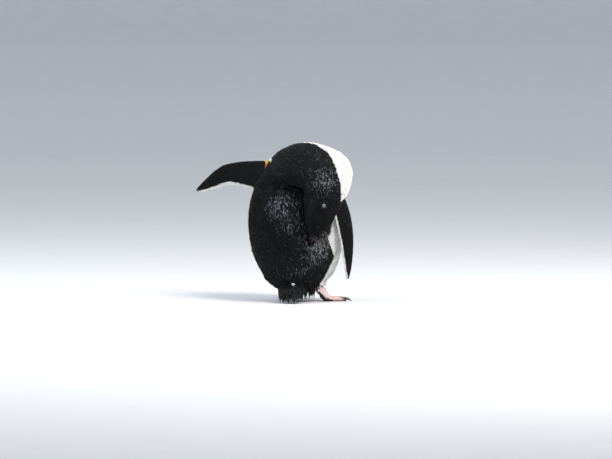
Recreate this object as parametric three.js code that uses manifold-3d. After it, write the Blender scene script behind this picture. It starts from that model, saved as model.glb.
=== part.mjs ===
// An Adelie penguin (Pygoscelis adeliae) preening over its right shoulder, at life size.
//
// Millimetres, +Z up. The bird faces -Y, its left side is +X and its right side -X. It stands on
// two feet and the tip of its tail, all at z = 0. Every solid runs out to the tips of the feathers.
import * as THREE from 'three';
import { mergeVertices } from 'three/addons/utils/BufferGeometryUtils.js';
import Module from 'manifold-3d';

const wasm = await Module();
wasm.setup();

// ---------------------------------------------------------------- driving dimensions, millimetres

const AXIS_AT = [-66.2, -8.9];   // where the body's upright axis stands from the middle of the box
const CUT = 0.35;                // the gap that parts two neighbouring solids
const BODY_SIDES = 36;           // corners round the trunk, neck and head
const LIMB_SIDES = 16;           // corners round a flipper, a leg or the tail

const EYE_RADIUS = 8;
const EYE_INSET = 6.8;           // how deep an eye's middle lies under the feathers
const EYE_STATION = 15.77;        // where along the body's guide the eyes sit
const EYE_ROUND = 1.09;          // and how far round from the throat, in right angles
const WEB_LIFT = 1.6;            // the webs hang a little above the floor
const BAND_THICK = 1.4;          // the flipper band's strap

// ---------------------------------------------------------------- finishes

const finish = (colour, roughness, metalness = 0) =>
  new THREE.MeshStandardMaterial({ color: colour, roughness, metalness });

const FINISH = {
  plumage: finish('#17191d', 0.55),
  skin: finish('#e3b3b4', 0.5),
  bill: finish('#2a1a17', 0.35),
  claw: finish('#1b1714', 0.4),
  eye: finish('#1a100c', 0.08),
  strap: finish('#1c1d1f', 0.5),
  yellow: finish('#f2c23c', 0.3),
  orange: finish('#d8702a', 0.3),
};

// ---------------------------------------------------------------- lofts

const vector = (a) => new THREE.Vector3(...a);

// A body swept along a guide. Each station says where the guide passes (at), which way the front of
// the section looks (front), how far it reaches to its left, right, front (fore) and back (aft), and
// how square it is (full, 2 for an ellipse).
class Loft {
  constructor(stations) {
    const curve = (points) => new THREE.CatmullRomCurve3(points, false, 'catmullrom', 0.5);
    this.centre = curve(stations.map((s) => vector(s.at)));
    this.front = curve(stations.map((s) => vector(s.front).normalize()));
    this.sides = curve(stations.map((s) => new THREE.Vector3(s.left, s.right, s.full ?? 2)));
    this.faces = curve(stations.map((s) => new THREE.Vector3(s.fore, s.aft, 0)));
    this.last = stations.length - 1;
  }

  // The section's own axes at station number t, which may lie between two stations.
  frame(t) {
    const u = t / this.last;
    const along = this.centre.getTangent(u);
    const front = this.front.getPoint(u).projectOnPlane(along).normalize();
    return { centre: this.centre.getPoint(u), along, front, left: along.clone().cross(front) };
  }

  // A point of the surface: angle 0 is the front of the section and 90 degrees its left.
  point(t, angle, grow = 0, shift = 0) {
    const { centre, along, front, left } = this.frame(t);
    const [toLeft, toRight, full] = this.sides.getPoint(t / this.last).toArray();
    const [fore, aft] = this.faces.getPoint(t / this.last).toArray();
    const rounded = (x) => Math.sign(x) * Math.abs(x) ** (2 / full);
    const across = rounded(Math.sin(angle));
    const ahead = rounded(Math.cos(angle));
    return centre
      .addScaledVector(left, across * ((across > 0 ? toLeft : toRight) + grow))
      .addScaledVector(front, ahead * ((ahead > 0 ? fore : aft) + grow))
      .addScaledVector(along, shift);
  }

  ring(t, sides, grow = 0, shift = 0) {
    return Array.from({ length: sides }, (_, i) => this.point(t, (2 * Math.PI * i) / sides, grow, shift));
  }

  // The closed body from one station number to another, in a number of steps.
  body(from, to, steps, sides, grow = 0) {
    const rings = [];
    for (let i = 0; i <= steps; i += 1) {
      const end = i === 0 ? 1 : i === steps ? -1 : 0;
      rings.push(this.ring(from + ((to - from) * i) / steps, sides, grow, end * (CUT / 2 - grow)));
    }
    return solid(closed(rings));
  }

  // A strap round the body between two station numbers, clear of it by CUT.
  strap(from, to, thick, sides) {
    const bounds = [[from, CUT], [from, CUT + thick], [to, CUT + thick], [to, CUT]];
    return solid(hoop(bounds.map(([t, grow]) => this.ring(t, sides, grow))));
  }
}

// A closed surface through rings of as many points each, with a fan on each end.
function closed(rings) {
  const sides = rings[0].length;
  const middle = (ring) => ring.reduce((sum, p) => sum.add(p), new THREE.Vector3()).divideScalar(sides);
  const points = [...rings.flat(), middle(rings[0]), middle(rings.at(-1))];
  const index = [];
  for (let r = 0; r + 1 < rings.length; r += 1) {
    for (let i = 0; i < sides; i += 1) {
      const [a, b] = [r * sides + i, r * sides + ((i + 1) % sides)];
      index.push(a, a + sides, b, b, a + sides, b + sides);
    }
  }
  const [start, end, top] = [points.length - 2, points.length - 1, (rings.length - 1) * sides];
  for (let i = 0; i < sides; i += 1) {
    const j = (i + 1) % sides;
    index.push(start, i, j, end, top + j, top + i);
  }
  return new THREE.BufferGeometry().setFromPoints(points).setIndex(index);
}

// A closed surface through rings of as many points each, where the last ring meets the first.
function hoop(rings) {
  const sides = rings[0].length;
  const index = [];
  for (let r = 0; r < rings.length; r += 1) {
    const [here, next] = [r * sides, ((r + 1) % rings.length) * sides];
    for (let i = 0; i < sides; i += 1) {
      const j = (i + 1) % sides;
      index.push(here + i, next + i, here + j, here + j, next + i, next + j);
    }
  }
  return new THREE.BufferGeometry().setFromPoints(rings.flat()).setIndex(index);
}

// ---------------------------------------------------------------- joining and cutting

function solid(geometry) {
  const bare = geometry.clone();
  bare.deleteAttribute('normal');
  bare.deleteAttribute('uv');
  const { attributes, index } = mergeVertices(bare, 1e-4);
  const build = (triVerts) =>
    new wasm.Manifold(new wasm.Mesh({ numProp: 3, vertProperties: attributes.position.array, triVerts }));
  const corners = new Uint32Array(index.array);
  const made = build(corners);
  return made.volume() > 0 ? made : build(corners.reverse());
}

function geometryOf(manifold) {
  const biggest = manifold.decompose().reduce((a, b) => (a.volume() > b.volume() ? a : b));
  const { vertProperties, triVerts, numProp } = biggest.getMesh();
  const points = [];
  for (let i = 0; i < vertProperties.length; i += numProp) {
    points.push(new THREE.Vector3(...vertProperties.slice(i, i + 3)));
  }
  return new THREE.BufferGeometry().setFromPoints(points).setIndex(Array.from(triVerts));
}

const union = (solids) => solids.reduce((all, one) => all.add(one));

// Everything below the floor is taken off.
const FLOOR = wasm.Manifold.cube([1000, 1000, 200], true).translate([0, 0, -100]);
const onFloor = (part) => part.subtract(FLOOR);

// ---------------------------------------------------------------- trunk, neck and head

const AHEAD = [0, -1, 0];

// One guide runs up the trunk, over in the bend of the neck and down to the root of the bill.
const BODY = new Loft([
  { at: [-7, 2, 35], front: AHEAD, left: 26, right: 28, fore: 30, aft: 28 },
  { at: [-7, 2, 39], front: AHEAD, left: 56, right: 52, fore: 51, aft: 53 },
  { at: [-7, 3, 48], front: AHEAD, left: 76, right: 72, fore: 71, aft: 67, full: 2.05 },
  { at: [-6, 3, 63], front: AHEAD, left: 89, right: 88, fore: 88, aft: 80, full: 2.1 },
  { at: [-4, 2, 87], front: AHEAD, left: 99, right: 102, fore: 102, aft: 91, full: 2.1 },
  { at: [-1, 2, 125], front: AHEAD, left: 115, right: 115, fore: 112, aft: 104, full: 2.15 },
  { at: [3, 2, 175], front: AHEAD, left: 122, right: 121, fore: 116, aft: 112, full: 2.15 },
  { at: [7, 4, 225], front: AHEAD, left: 121, right: 119, fore: 112, aft: 111, full: 2.1 },
  { at: [10, 6, 270], front: AHEAD, left: 112, right: 110, fore: 103, aft: 101, full: 2.1 },
  { at: [12, 8, 308], front: [0, -1, 0.1], left: 95, right: 95, fore: 92, aft: 85, full: 2.1 },
  { at: [5, 16, 340], front: [-0.1, -0.95, 0.3], left: 67, right: 80, fore: 84, aft: 66, full: 2.05 },
  { at: [-22, 34, 360], front: [-0.45, -0.78, 0.45], left: 50, right: 60, fore: 76, aft: 72 },
  { at: [-62, 52, 358], front: [-0.7, -0.6, 0.4], left: 46, right: 50, fore: 74, aft: 70 },
  { at: [-100, 64, 334], front: [-0.78, -0.58, 0.12], left: 47, right: 47, fore: 93, aft: 58 },
  { at: [-119, 74, 300], front: [-0.78, -0.62, 0], left: 45, right: 43, fore: 75, aft: 50 },
  { at: [-126, 83, 268], front: [-0.74, -0.67, 0], left: 41, right: 37, fore: 53, aft: 50 },
  { at: [-127, 89, 247], front: [-0.72, -0.7, 0], left: 37, right: 35, fore: 41, aft: 49 },
  { at: [-124, 92, 225], front: [-0.72, -0.7, 0], left: 34, right: 33, fore: 33, aft: 44 },
  { at: [-118, 92, 208], front: [-0.72, -0.7, -0.1], left: 30, right: 30, fore: 26, aft: 38 },
  { at: [-111, 91, 197], front: [-0.72, -0.7, -0.2], left: 24, right: 24, fore: 20, aft: 30 },
  { at: [-105, 90, 189], front: [-0.72, -0.7, -0.3], left: 17, right: 17, fore: 15, aft: 21 },
  { at: [-101, 88, 184.5], front: [-0.72, -0.7, -0.3], left: 11, right: 11, fore: 11, aft: 13.5 },
]);

// Where the body is parted, in station numbers.
const PARTED = { rump: 0, neck: 10, nape: 13, head: 15, lores: 21 };

const trunkOf = (grow) => BODY.body(PARTED.rump, PARTED.neck, 19, BODY_SIDES, grow);
const neckOf = (grow) => BODY.body(PARTED.neck, PARTED.nape, 8, BODY_SIDES, grow);
const headOf = (grow) => BODY.body(PARTED.head, PARTED.lores, 10, BODY_SIDES, grow);
const neckUpper = BODY.body(PARTED.nape, PARTED.head, 5, BODY_SIDES);

// An eyeball, on the side given as 1 for left and -1 for right.
function eyeAt(side, grow) {
  const angle = side * (Math.PI / 2) * EYE_ROUND;
  const centre = BODY.point(EYE_STATION, angle, -EYE_INSET);
  return solid(new THREE.IcosahedronGeometry(EYE_RADIUS + grow, 2)).translate(centre.toArray());
}

// ---------------------------------------------------------------- flippers

const LEFT_FLIPPER = new Loft([
  { at: [62, -2, 326], front: [-0.3, 0, 0.95], left: 20, right: 20, fore: 22, aft: 34 },
  { at: [92, -3, 337], front: [-0.4, 0, 0.9], left: 14, right: 14, fore: 24, aft: 44 },
  { at: [122, -4, 341], front: [-0.3, 0, 0.95], left: 9, right: 9, fore: 21, aft: 55 },
  { at: [155, -5, 341], front: [-0.1, 0, 1], left: 7, right: 7, fore: 19, aft: 53 },
  { at: [190, -6, 338], front: [0.1, 0, 1], left: 6.2, right: 6.2, fore: 18, aft: 47 },
  { at: [225, -7, 328], front: [0.3, 0, 0.95], left: 5.4, right: 5.4, fore: 19, aft: 39 },
  { at: [258, -8, 309], front: [0.5, 0, 0.85], left: 4.6, right: 4.6, fore: 16.5, aft: 29 },
  { at: [287, -9, 290], front: [0.55, 0, 0.83], left: 3.8, right: 3.8, fore: 11.5, aft: 17 },
  { at: [306, -10, 280], front: [0.5, 0, 0.86], left: 2.4, right: 2.4, fore: 5.5, aft: 6.5 },
  { at: [313, -10, 277], front: [0.5, 0, 0.86], left: 1, right: 1, fore: 1.5, aft: 2 },
]);

const RIGHT_FLIPPER = new Loft([
  { at: [-72, -8, 305], front: [0, -1, 0.2], left: 20, right: 20, fore: 24, aft: 32 },
  { at: [-100, -12, 290], front: [0, -1, 0.2], left: 14, right: 14, fore: 26, aft: 36 },
  { at: [-116, -18, 262], front: [-0.08, -1, 0.1], left: 10, right: 10, fore: 26, aft: 42 },
  { at: [-127, -25, 228], front: [-0.12, -1, 0], left: 7.5, right: 7.5, fore: 25, aft: 44 },
  { at: [-134, -28, 192], front: [-0.14, -1, 0], left: 6.5, right: 6.5, fore: 23, aft: 41 },
  { at: [-139, -27, 155], front: [-0.14, -1, -0.1], left: 5.8, right: 5.8, fore: 20, aft: 36 },
  { at: [-142, -24, 120], front: [-0.12, -1, -0.25], left: 4.8, right: 4.8, fore: 16, aft: 28 },
  { at: [-142, -22, 88], front: [-0.1, -1, -0.35], left: 3.8, right: 3.8, fore: 11, aft: 18 },
  { at: [-141, -21, 66], front: [-0.1, -1, -0.4], left: 2.4, right: 2.4, fore: 5, aft: 8 },
  { at: [-141, -21, 59], front: [-0.1, -1, -0.4], left: 1, right: 1, fore: 1.5, aft: 2 },
]);

// ---------------------------------------------------------------- bill

// The bill runs on from the head and sinks its hooked tip into the feathers of the back.
const BILL = new Loft([
  { at: [-105, 92, 190], front: [-0.6, -0.4, -0.5], left: 6.8, right: 6.8, fore: 8.5, aft: 9.5 },
  { at: [-98, 87, 181], front: [-0.6, -0.4, -0.5], left: 6.8, right: 6.8, fore: 8.5, aft: 10 },
  { at: [-91, 80, 171], front: [-0.6, -0.4, -0.6], left: 5.6, right: 5.6, fore: 7, aft: 9.5 },
  { at: [-84, 73, 161], front: [-0.6, -0.4, -0.7], left: 4.4, right: 4.4, fore: 5, aft: 8.5 },
  { at: [-79, 68, 153], front: [-0.6, -0.4, -0.8], left: 3, right: 3, fore: 3, aft: 6.5 },
  { at: [-77, 66, 148], front: [-0.6, -0.4, -0.8], left: 1.2, right: 1.2, fore: 1.2, aft: 2.5 },
]);

// The gape parts the bill in two: keep is 1 for the lower half and -1 for the upper.
function billHalf(keep) {
  const { centre, front } = BILL.frame(1.5);
  const knife = wasm.Manifold.cube([120, 120, 120], true).translate([0, 0, 60 + CUT / 2]);
  const turn = new THREE.Quaternion().setFromUnitVectors(new THREE.Vector3(0, 0, 1), front.clone().multiplyScalar(keep));
  const place = new THREE.Matrix4().compose(centre, turn, new THREE.Vector3(1, 1, 1));
  return BILL.body(0, BILL.last, 8, 12).intersect(knife.transform(place.toArray()));
}

// ---------------------------------------------------------------- tail

const TAIL = new Loft([
  { at: [-12, 38, 76], front: [-0.25, 0.8, 0.6], left: 28, right: 28, fore: 12, aft: 14 },
  { at: [-20, 58, 54], front: [-0.25, 0.8, 0.6], left: 38, right: 40, fore: 10, aft: 12 },
  { at: [-29, 76, 33], front: [-0.25, 0.8, 0.55], left: 42, right: 45, fore: 7.5, aft: 9 },
  { at: [-37, 91, 13], front: [-0.25, 0.85, 0.5], left: 39, right: 39, fore: 5, aft: 6, full: 2.3 },
  { at: [-43, 103, -5], front: [-0.25, 0.85, 0.5], left: 34, right: 33, fore: 3.5, aft: 4.5, full: 2.5 },
]);

// ---------------------------------------------------------------- legs and feet

// A foot of its own: the heel stands over the origin, the toes point to -Y and the outer one to +X.
const TARSUS = new Loft([
  { at: [0, 4, 48], front: [0, -0.7, 0.7], left: 11, right: 11, fore: 9, aft: 10 },
  { at: [0, 0, 36], front: [0, -0.7, 0.7], left: 12, right: 12, fore: 10, aft: 10 },
  { at: [0, -14, 21], front: [0, -0.7, 0.7], left: 12.5, right: 12.5, fore: 9.5, aft: 9 },
  { at: [0, -27, 10], front: [0, -0.5, 0.85], left: 16, right: 16, fore: 9, aft: 12 },
  { at: [0, -38, 6], front: [0, -0.2, 1], left: 15, right: 15, fore: 7, aft: 9 },
]);

const UPWARD = [0, 0, 1];

// A toe from the ball of the foot to its claw; the knuckles show as swellings.
function toe(end) {
  const [x, y] = end;
  const at = (part, z) => [x * part, -26 + (y + 26) * part, z];
  return new Loft([
    { at: at(0, 7), front: UPWARD, left: 8, right: 8, fore: 7, aft: 9 },
    { at: at(0.35, 6.5), front: UPWARD, left: 7, right: 7, fore: 6, aft: 9 },
    { at: at(0.6, 6), front: UPWARD, left: 7.6, right: 7.6, fore: 6, aft: 8 },
    { at: at(0.82, 5.5), front: UPWARD, left: 6.4, right: 6.4, fore: 5, aft: 7.5 },
    { at: at(1, 5.5), front: UPWARD, left: 4.6, right: 4.6, fore: 4, aft: 6.5 },
  ]);
}

// The claw starts inside the toe, arches over and comes down to the floor.
function claw(end) {
  const [x, y] = end;
  const way = new THREE.Vector2(x, y + 26).normalize();
  const at = (reach, z) => [x + way.x * reach, y + way.y * reach, z];
  return new Loft([
    { at: at(-4, 6.6), front: UPWARD, left: 3, right: 3, fore: 2.6, aft: 2.8 },
    { at: at(2, 6.4), front: UPWARD, left: 2.9, right: 2.9, fore: 2.7, aft: 2.8 },
    { at: at(8, 5), front: UPWARD, left: 2, right: 2, fore: 2.1, aft: 2.2 },
    { at: at(13, 2.2), front: UPWARD, left: 1, right: 1, fore: 1.1, aft: 1.2 },
    { at: at(15, 0.9), front: UPWARD, left: 0.5, right: 0.5, fore: 0.6, aft: 0.6 },
  ]);
}

// The web between two toes: a plate with a hollow front edge.
function web(one, other) {
  const ball = [0, -26];
  const along = (end, part) => [end[0] * part, ball[1] + (end[1] - ball[1]) * part];
  const [a, b] = [along(one, 0.84), along(other, 0.84)];
  const hollow = [(a[0] + b[0]) * 0.46, ball[1] + ((a[1] + b[1]) / 2 - ball[1]) * 0.8];
  const plan = new wasm.CrossSection([[ball, a, hollow, b]], 'NonZero');
  return plan.extrude(3.4).translate([0, 0, WEB_LIFT]);
}

function foot({ heel, turn, mirror, toes }) {
  const place = (part) => part.scale([mirror, 1, 1]).rotate([0, 0, turn]).translate([heel[0], heel[1], 0]);
  const claws = toes.map((end) => claw(end));
  const hind = new Loft([
    { at: [-8, -14, 14], front: UPWARD, left: 4, right: 4, fore: 4, aft: 4 },
    { at: [-15, -20, 9], front: UPWARD, left: 3.4, right: 3.4, fore: 3.2, aft: 3.4 },
    { at: [-19, -28, 5], front: UPWARD, left: 1.6, right: 1.6, fore: 1.6, aft: 1.8 },
  ]);
  const parts = [
    TARSUS.body(0, TARSUS.last, 6, 11),
    ...toes.map((end) => toe(end).body(0, 4, 4, 8)),
    web(toes[0], toes[1]),
    web(toes[1], toes[2]),
    hind.body(0, 2, 3, 7),
  ];
  const bare = onFloor(union(parts));
  return {
    foot: place(claws.reduce((rest, one) => rest.subtract(one.body(0, 4, 4, 7, CUT)), bare)),
    claws: claws.map((one) => place(onFloor(one.body(0, 4, 4, 7)))),
    tarsus: place(TARSUS.body(0, TARSUS.last, 6, 11, CUT)),
  };
}

const TOE_NAMES = ['inner', 'middle', 'outer'];
const TOES = [[-15, -69], [4, -81], [25, -71]];
const FEET = {
  right: foot({ heel: [-60, -4], turn: -30, mirror: -1, toes: TOES }),
  left: foot({ heel: [47, 2], turn: 14, mirror: 1, toes: TOES }),
};

const LEGS = {
  right: new Loft([
    { at: [-46, 0, 88], front: AHEAD, left: 40, right: 40, fore: 42, aft: 40 },
    { at: [-52, -1, 66], front: AHEAD, left: 33, right: 34, fore: 36, aft: 34 },
    { at: [-57, -2, 48], front: [0, -1, 0.1], left: 24, right: 25, fore: 27, aft: 25 },
    { at: [-59, -4, 35], front: [0, -1, 0.2], left: 18, right: 18, fore: 19, aft: 18 },
    { at: [-60, -5, 29], front: [0, -1, 0.3], left: 13.5, right: 13.5, fore: 14, aft: 14 },
  ]),
  left: new Loft([
    { at: [33, 2, 88], front: AHEAD, left: 40, right: 40, fore: 42, aft: 40 },
    { at: [39, 2, 66], front: AHEAD, left: 34, right: 33, fore: 36, aft: 34 },
    { at: [44, 2, 48], front: [0, -1, 0.1], left: 25, right: 24, fore: 27, aft: 25 },
    { at: [46, 1, 35], front: [0, -1, 0.2], left: 18, right: 18, fore: 19, aft: 18 },
    { at: [47, 0, 29], front: [0, -1, 0.3], left: 13.5, right: 13.5, fore: 14, aft: 14 },
  ]),
};

// ---------------------------------------------------------------- the band on the left flipper

const BAND_AT = 0.74;            // station number of the flipper

// The tag is a short upright rod of two colours against the band.
const TAG = { middle: [83, 11, 355], radius: 5, half: 9 };

function tagHalf(low, high) {
  const [x, y, z] = TAG.middle;
  return wasm.Manifold.cylinder(high - low, TAG.radius, TAG.radius, 14).translate([x, y, z + low]);
}

// ---------------------------------------------------------------- the group

const bird = new THREE.Group();

function add(name, part, material) {
  const mesh = new THREE.Mesh(geometryOf(part), material);
  mesh.name = name;
  mesh.position.set(AXIS_AT[0], AXIS_AT[1], 0);
  bird.add(mesh);
}

const trunkGrown = trunkOf(CUT).add(trunkOf(CUT).translate([0, 0, -CUT]));
const neckGrown = neckOf(CUT);
const billGrown = BILL.body(0, BILL.last, 8, 12, CUT);
const sockets = eyeAt(1, CUT).add(eyeAt(-1, CUT));

add('trunk', trunkOf(0).subtract(billGrown), FINISH.plumage);
add('neck_lower', neckOf(0), FINISH.plumage);
add('neck_upper', neckUpper.subtract(trunkGrown), FINISH.plumage);
add('head', headOf(0).subtract(billGrown).subtract(sockets), FINISH.plumage);
add('eye_left', eyeAt(1, 0), FINISH.eye);
add('eye_right', eyeAt(-1, 0), FINISH.eye);
add('bill_upper', billHalf(-1), FINISH.bill);
add('bill_lower', billHalf(1), FINISH.bill);

for (const [name, loft] of [['flipper_left', LEFT_FLIPPER], ['flipper_right', RIGHT_FLIPPER]]) {
  const whole = loft.body(0, loft.last, 18, LIMB_SIDES);
  add(name, whole.subtract(trunkGrown).subtract(neckGrown), FINISH.plumage);
}

const tail = onFloor(TAIL.body(0, TAIL.last, 6, LIMB_SIDES));
add('tail', tail.subtract(trunkGrown), FINISH.plumage);

for (const side of ['left', 'right']) {
  const leg = LEGS[side].body(0, 4, 7, LIMB_SIDES);
  add(`leg_${side}`, leg.subtract(trunkGrown).subtract(FEET[side].tarsus), FINISH.plumage);
  add(`foot_${side}`, FEET[side].foot.subtract(trunkGrown), FINISH.skin);
  FEET[side].claws.forEach((one, i) => add(`claw_${side}_${TOE_NAMES[i]}`, one, FINISH.claw));
}

const band = LEFT_FLIPPER.strap(BAND_AT, BAND_AT + 0.18, BAND_THICK, LIMB_SIDES);
const bandGrown = LEFT_FLIPPER.strap(BAND_AT - 0.05, BAND_AT + 0.23, BAND_THICK + 1.4 * CUT, LIMB_SIDES);
const flipperGrown = LEFT_FLIPPER.body(0, LEFT_FLIPPER.last, 18, LIMB_SIDES, CUT);
const besideTag = union([bandGrown, flipperGrown, trunkGrown, neckGrown]);
add('tag_band', band.subtract(trunkGrown).subtract(neckGrown), FINISH.strap);
add('tag_yellow', tagHalf(CUT / 2, TAG.half).subtract(besideTag), FINISH.yellow);
add('tag_orange', tagHalf(-TAG.half, -CUT / 2).subtract(besideTag), FINISH.orange);

export default bird;
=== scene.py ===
# %% [markdown]
# # A resting penguin, dressed over its measured solids
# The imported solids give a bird's outline out to the tips of its feathers. A museum model of the same bird
# is made from the inside out: a skin that lies under the plumage, eyes, bill and claws set into it, and then
# thousands of feathers laid over it. This lesson follows that order, and every piece keeps the solids' frame.

# %% Load the solids
import math
import bpy
import bmesh
import numpy as np
from mathutils import Matrix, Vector
from mathutils.bvhtree import BVHTree


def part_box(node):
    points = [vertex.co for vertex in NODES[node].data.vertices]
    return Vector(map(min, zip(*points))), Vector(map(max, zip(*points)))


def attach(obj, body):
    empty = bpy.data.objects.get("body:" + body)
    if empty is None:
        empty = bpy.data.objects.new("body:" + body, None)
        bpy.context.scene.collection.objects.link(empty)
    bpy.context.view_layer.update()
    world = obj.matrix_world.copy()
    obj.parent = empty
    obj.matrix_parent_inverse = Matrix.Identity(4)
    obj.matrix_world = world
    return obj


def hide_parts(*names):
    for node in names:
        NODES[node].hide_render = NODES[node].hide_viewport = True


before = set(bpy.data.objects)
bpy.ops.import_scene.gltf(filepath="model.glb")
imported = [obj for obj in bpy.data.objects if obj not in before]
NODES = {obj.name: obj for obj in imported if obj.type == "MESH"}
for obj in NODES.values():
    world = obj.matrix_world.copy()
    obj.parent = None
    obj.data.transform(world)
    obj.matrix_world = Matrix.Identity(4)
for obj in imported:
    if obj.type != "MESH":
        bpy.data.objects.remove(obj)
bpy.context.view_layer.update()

# %% [markdown]
# The bird's own frame is easier to think in than the whole model's: millimetres, with the upright axis of
# the trunk at zero, the bird's left along X, its back along Y, and Z up from the floor. The two helpers below
# are the only places where the two frames meet, so every table of sizes can stay in millimetres.

# %% The bird's frame
AXIS = np.array([-66.2, -8.9, 0.0])           # mm from the model's origin to the foot of the trunk's axis


def to_metres(points):
    return (np.asarray(points, float) + AXIS) / 1000


def to_bird(points):
    return np.asarray(points, float) * 1000 - AXIS


def unit(rows):
    return rows / np.maximum(np.linalg.norm(rows, axis=-1, keepdims=True), 1e-12)


def dot(one, other):
    return (one * other).sum(axis=-1, keepdims=True)


def swell(points, size, seed):
    """A smooth random field, mostly between -1 and 1, with lumps about that many mm across."""
    rng = np.random.default_rng(seed)
    total = np.zeros(len(points))
    for _ in range(8):
        wave = unit(rng.normal(size=3)) * math.tau / (size * rng.uniform(1.3, 2.6))
        total += np.sin(points @ wave + rng.uniform(0, math.tau))
    return total / 2.4


# %% [markdown]
# Feathers lie along the body from the bill to the tail, and the markings run along it too, so both need to
# know how far along and how far round the body a point is. A guide answers that: it is a smooth line through
# the middle of a limb, with the direction of its front side kept at every station. Catmull-Rom segments pass
# through every station, which keeps the table short.

# %% Guides through the body
STEPS = 16                                    # samples from one station to the next
POINTS_AT_ONCE = 20000                        # points located together, to spare memory


class Guide:
    """A smooth line of stations, each x, y, z and the direction of its front."""

    def __init__(self, rows):
        rows = np.array(rows, float)
        ends = np.vstack([2 * rows[0] - rows[1], rows, 2 * rows[-1] - rows[-2]])
        t = (np.arange(STEPS) / STEPS)[:, None]
        table = []
        for a, b, c, d in zip(ends[:-3], ends[1:-2], ends[2:-1], ends[3:]):
            table.append(b + (c - a) * t / 2 + (2 * a - 5 * b + 4 * c - d) * t**2 / 2
                         + (3 * b - a - 3 * c + d) * t**3 / 2)
        table = np.vstack(table + [rows[-1:]])
        self.middle = table[:, :3]
        step = np.gradient(self.middle, axis=0)
        self.along = unit(step)
        self.reach = np.linalg.norm(step, axis=1)
        front = table[:, 3:6]
        self.front = unit(front - dot(front, self.along) * self.along)
        self.left = np.cross(self.along, self.front)
        self.station = np.arange(len(table)) / STEPS

    def locate(self, points, low, high):
        """Station, angle round from the front in degrees (left is positive), and sample number."""
        first = max(0, int(low * STEPS))
        last = min(len(self.middle), int(high * STEPS) + 1)
        near = np.empty(len(points), int)
        for i in range(0, len(points), POINTS_AT_ONCE):
            away = points[i:i + POINTS_AT_ONCE, None] - self.middle[None, first:last]
            near[i:i + POINTS_AT_ONCE] = first + (away**2).sum(axis=2).argmin(axis=1)
        away = points - self.middle[near]
        part = np.clip(dot(away, self.along[near])[:, 0] / self.reach[near], -0.6, 0.6)
        angle = np.arctan2(dot(away, self.left[near])[:, 0], dot(away, self.front[near])[:, 0])
        return self.station[near] + part / STEPS, np.degrees(angle), near


BODY = Guide([
    (-7, 2, 35, 0, -1, 0), (-7, 2, 39, 0, -1, 0), (-7, 3, 48, 0, -1, 0), (-6, 3, 63, 0, -1, 0),
    (-4, 2, 87, 0, -1, 0), (-1, 2, 125, 0, -1, 0), (3, 2, 175, 0, -1, 0), (7, 4, 225, 0, -1, 0),
    (10, 6, 270, 0, -1, 0), (12, 8, 308, 0, -1, 0.1), (5, 16, 340, -0.1, -0.95, 0.3),
    (-22, 34, 360, -0.45, -0.78, 0.45), (-62, 52, 358, -0.7, -0.6, 0.4),
    (-100, 64, 334, -0.78, -0.58, 0.12), (-119, 74, 300, -0.78, -0.62, 0),
    (-126, 83, 268, -0.74, -0.67, 0), (-127, 89, 247, -0.72, -0.7, 0),
    (-124, 92, 225, -0.72, -0.7, 0), (-118, 92, 208, -0.72, -0.7, -0.1),
    (-111, 91, 197, -0.72, -0.7, -0.2), (-105, 90, 189, -0.72, -0.7, -0.3),
    (-101, 88, 184.5, -0.72, -0.7, -0.3),
])
# The flippers' last two columns are how far the leading and the trailing edge lie from the guide.
LEFT_ROWS = [
    (62, -2, 326, -0.3, 0, 0.95, 22, 34), (92, -3, 337, -0.4, 0, 0.9, 24, 44),
    (122, -4, 341, -0.3, 0, 0.95, 21, 55), (155, -5, 341, -0.1, 0, 1, 19, 53),
    (190, -6, 338, 0.1, 0, 1, 18, 47), (225, -7, 328, 0.3, 0, 0.95, 19, 39),
    (258, -8, 309, 0.5, 0, 0.85, 16.5, 29), (287, -9, 290, 0.55, 0, 0.83, 11.5, 17),
    (306, -10, 280, 0.5, 0, 0.86, 5.5, 6.5), (313, -10, 277, 0.5, 0, 0.86, 1.5, 2),
]
RIGHT_ROWS = [
    (-72, -8, 305, 0, -1, 0.2, 24, 32), (-100, -12, 290, 0, -1, 0.2, 26, 36),
    (-116, -18, 262, -0.08, -1, 0.1, 26, 42), (-127, -25, 228, -0.12, -1, 0, 25, 44),
    (-134, -28, 192, -0.14, -1, 0, 23, 41), (-139, -27, 155, -0.14, -1, -0.1, 20, 36),
    (-142, -24, 120, -0.12, -1, -0.25, 16, 28), (-142, -22, 88, -0.1, -1, -0.35, 11, 18),
    (-141, -21, 66, -0.1, -1, -0.4, 5, 8), (-141, -21, 59, -0.1, -1, -0.4, 1.5, 2),
]
FLIPPERS = {"flipper_left": (Guide(LEFT_ROWS), np.array(LEFT_ROWS)[:, 6:], -1),
            "flipper_right": (Guide(RIGHT_ROWS), np.array(RIGHT_ROWS)[:, 6:], 1)}
TAIL = Guide([(-12, 38, 76, -0.25, 0.8, 0.6), (-20, 58, 54, -0.25, 0.8, 0.6),
              (-29, 76, 33, -0.25, 0.8, 0.55), (-37, 91, 13, -0.25, 0.85, 0.5),
              (-43, 103, -5, -0.25, 0.85, 0.5)])
TAIL_HALF = [28, 39, 43, 39, 34]          # half the tail's breadth at each of its stations
print("length along the body's guide:", round(BODY.reach.sum()), "mm")

# %% [markdown]
# Meshes are read and written here as whole arrays, because a loop over a hundred thousand points is slow.
# The solids come as loose triangles, so a copy is welded before any modifier can treat it as one surface.

# %% Helpers for meshes
WELD = 1e-6                                   # metres between corners that are one


def new_object(name, mesh):
    thing = bpy.data.objects.new(name, mesh)
    bpy.context.scene.collection.objects.link(thing)
    return thing


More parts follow.
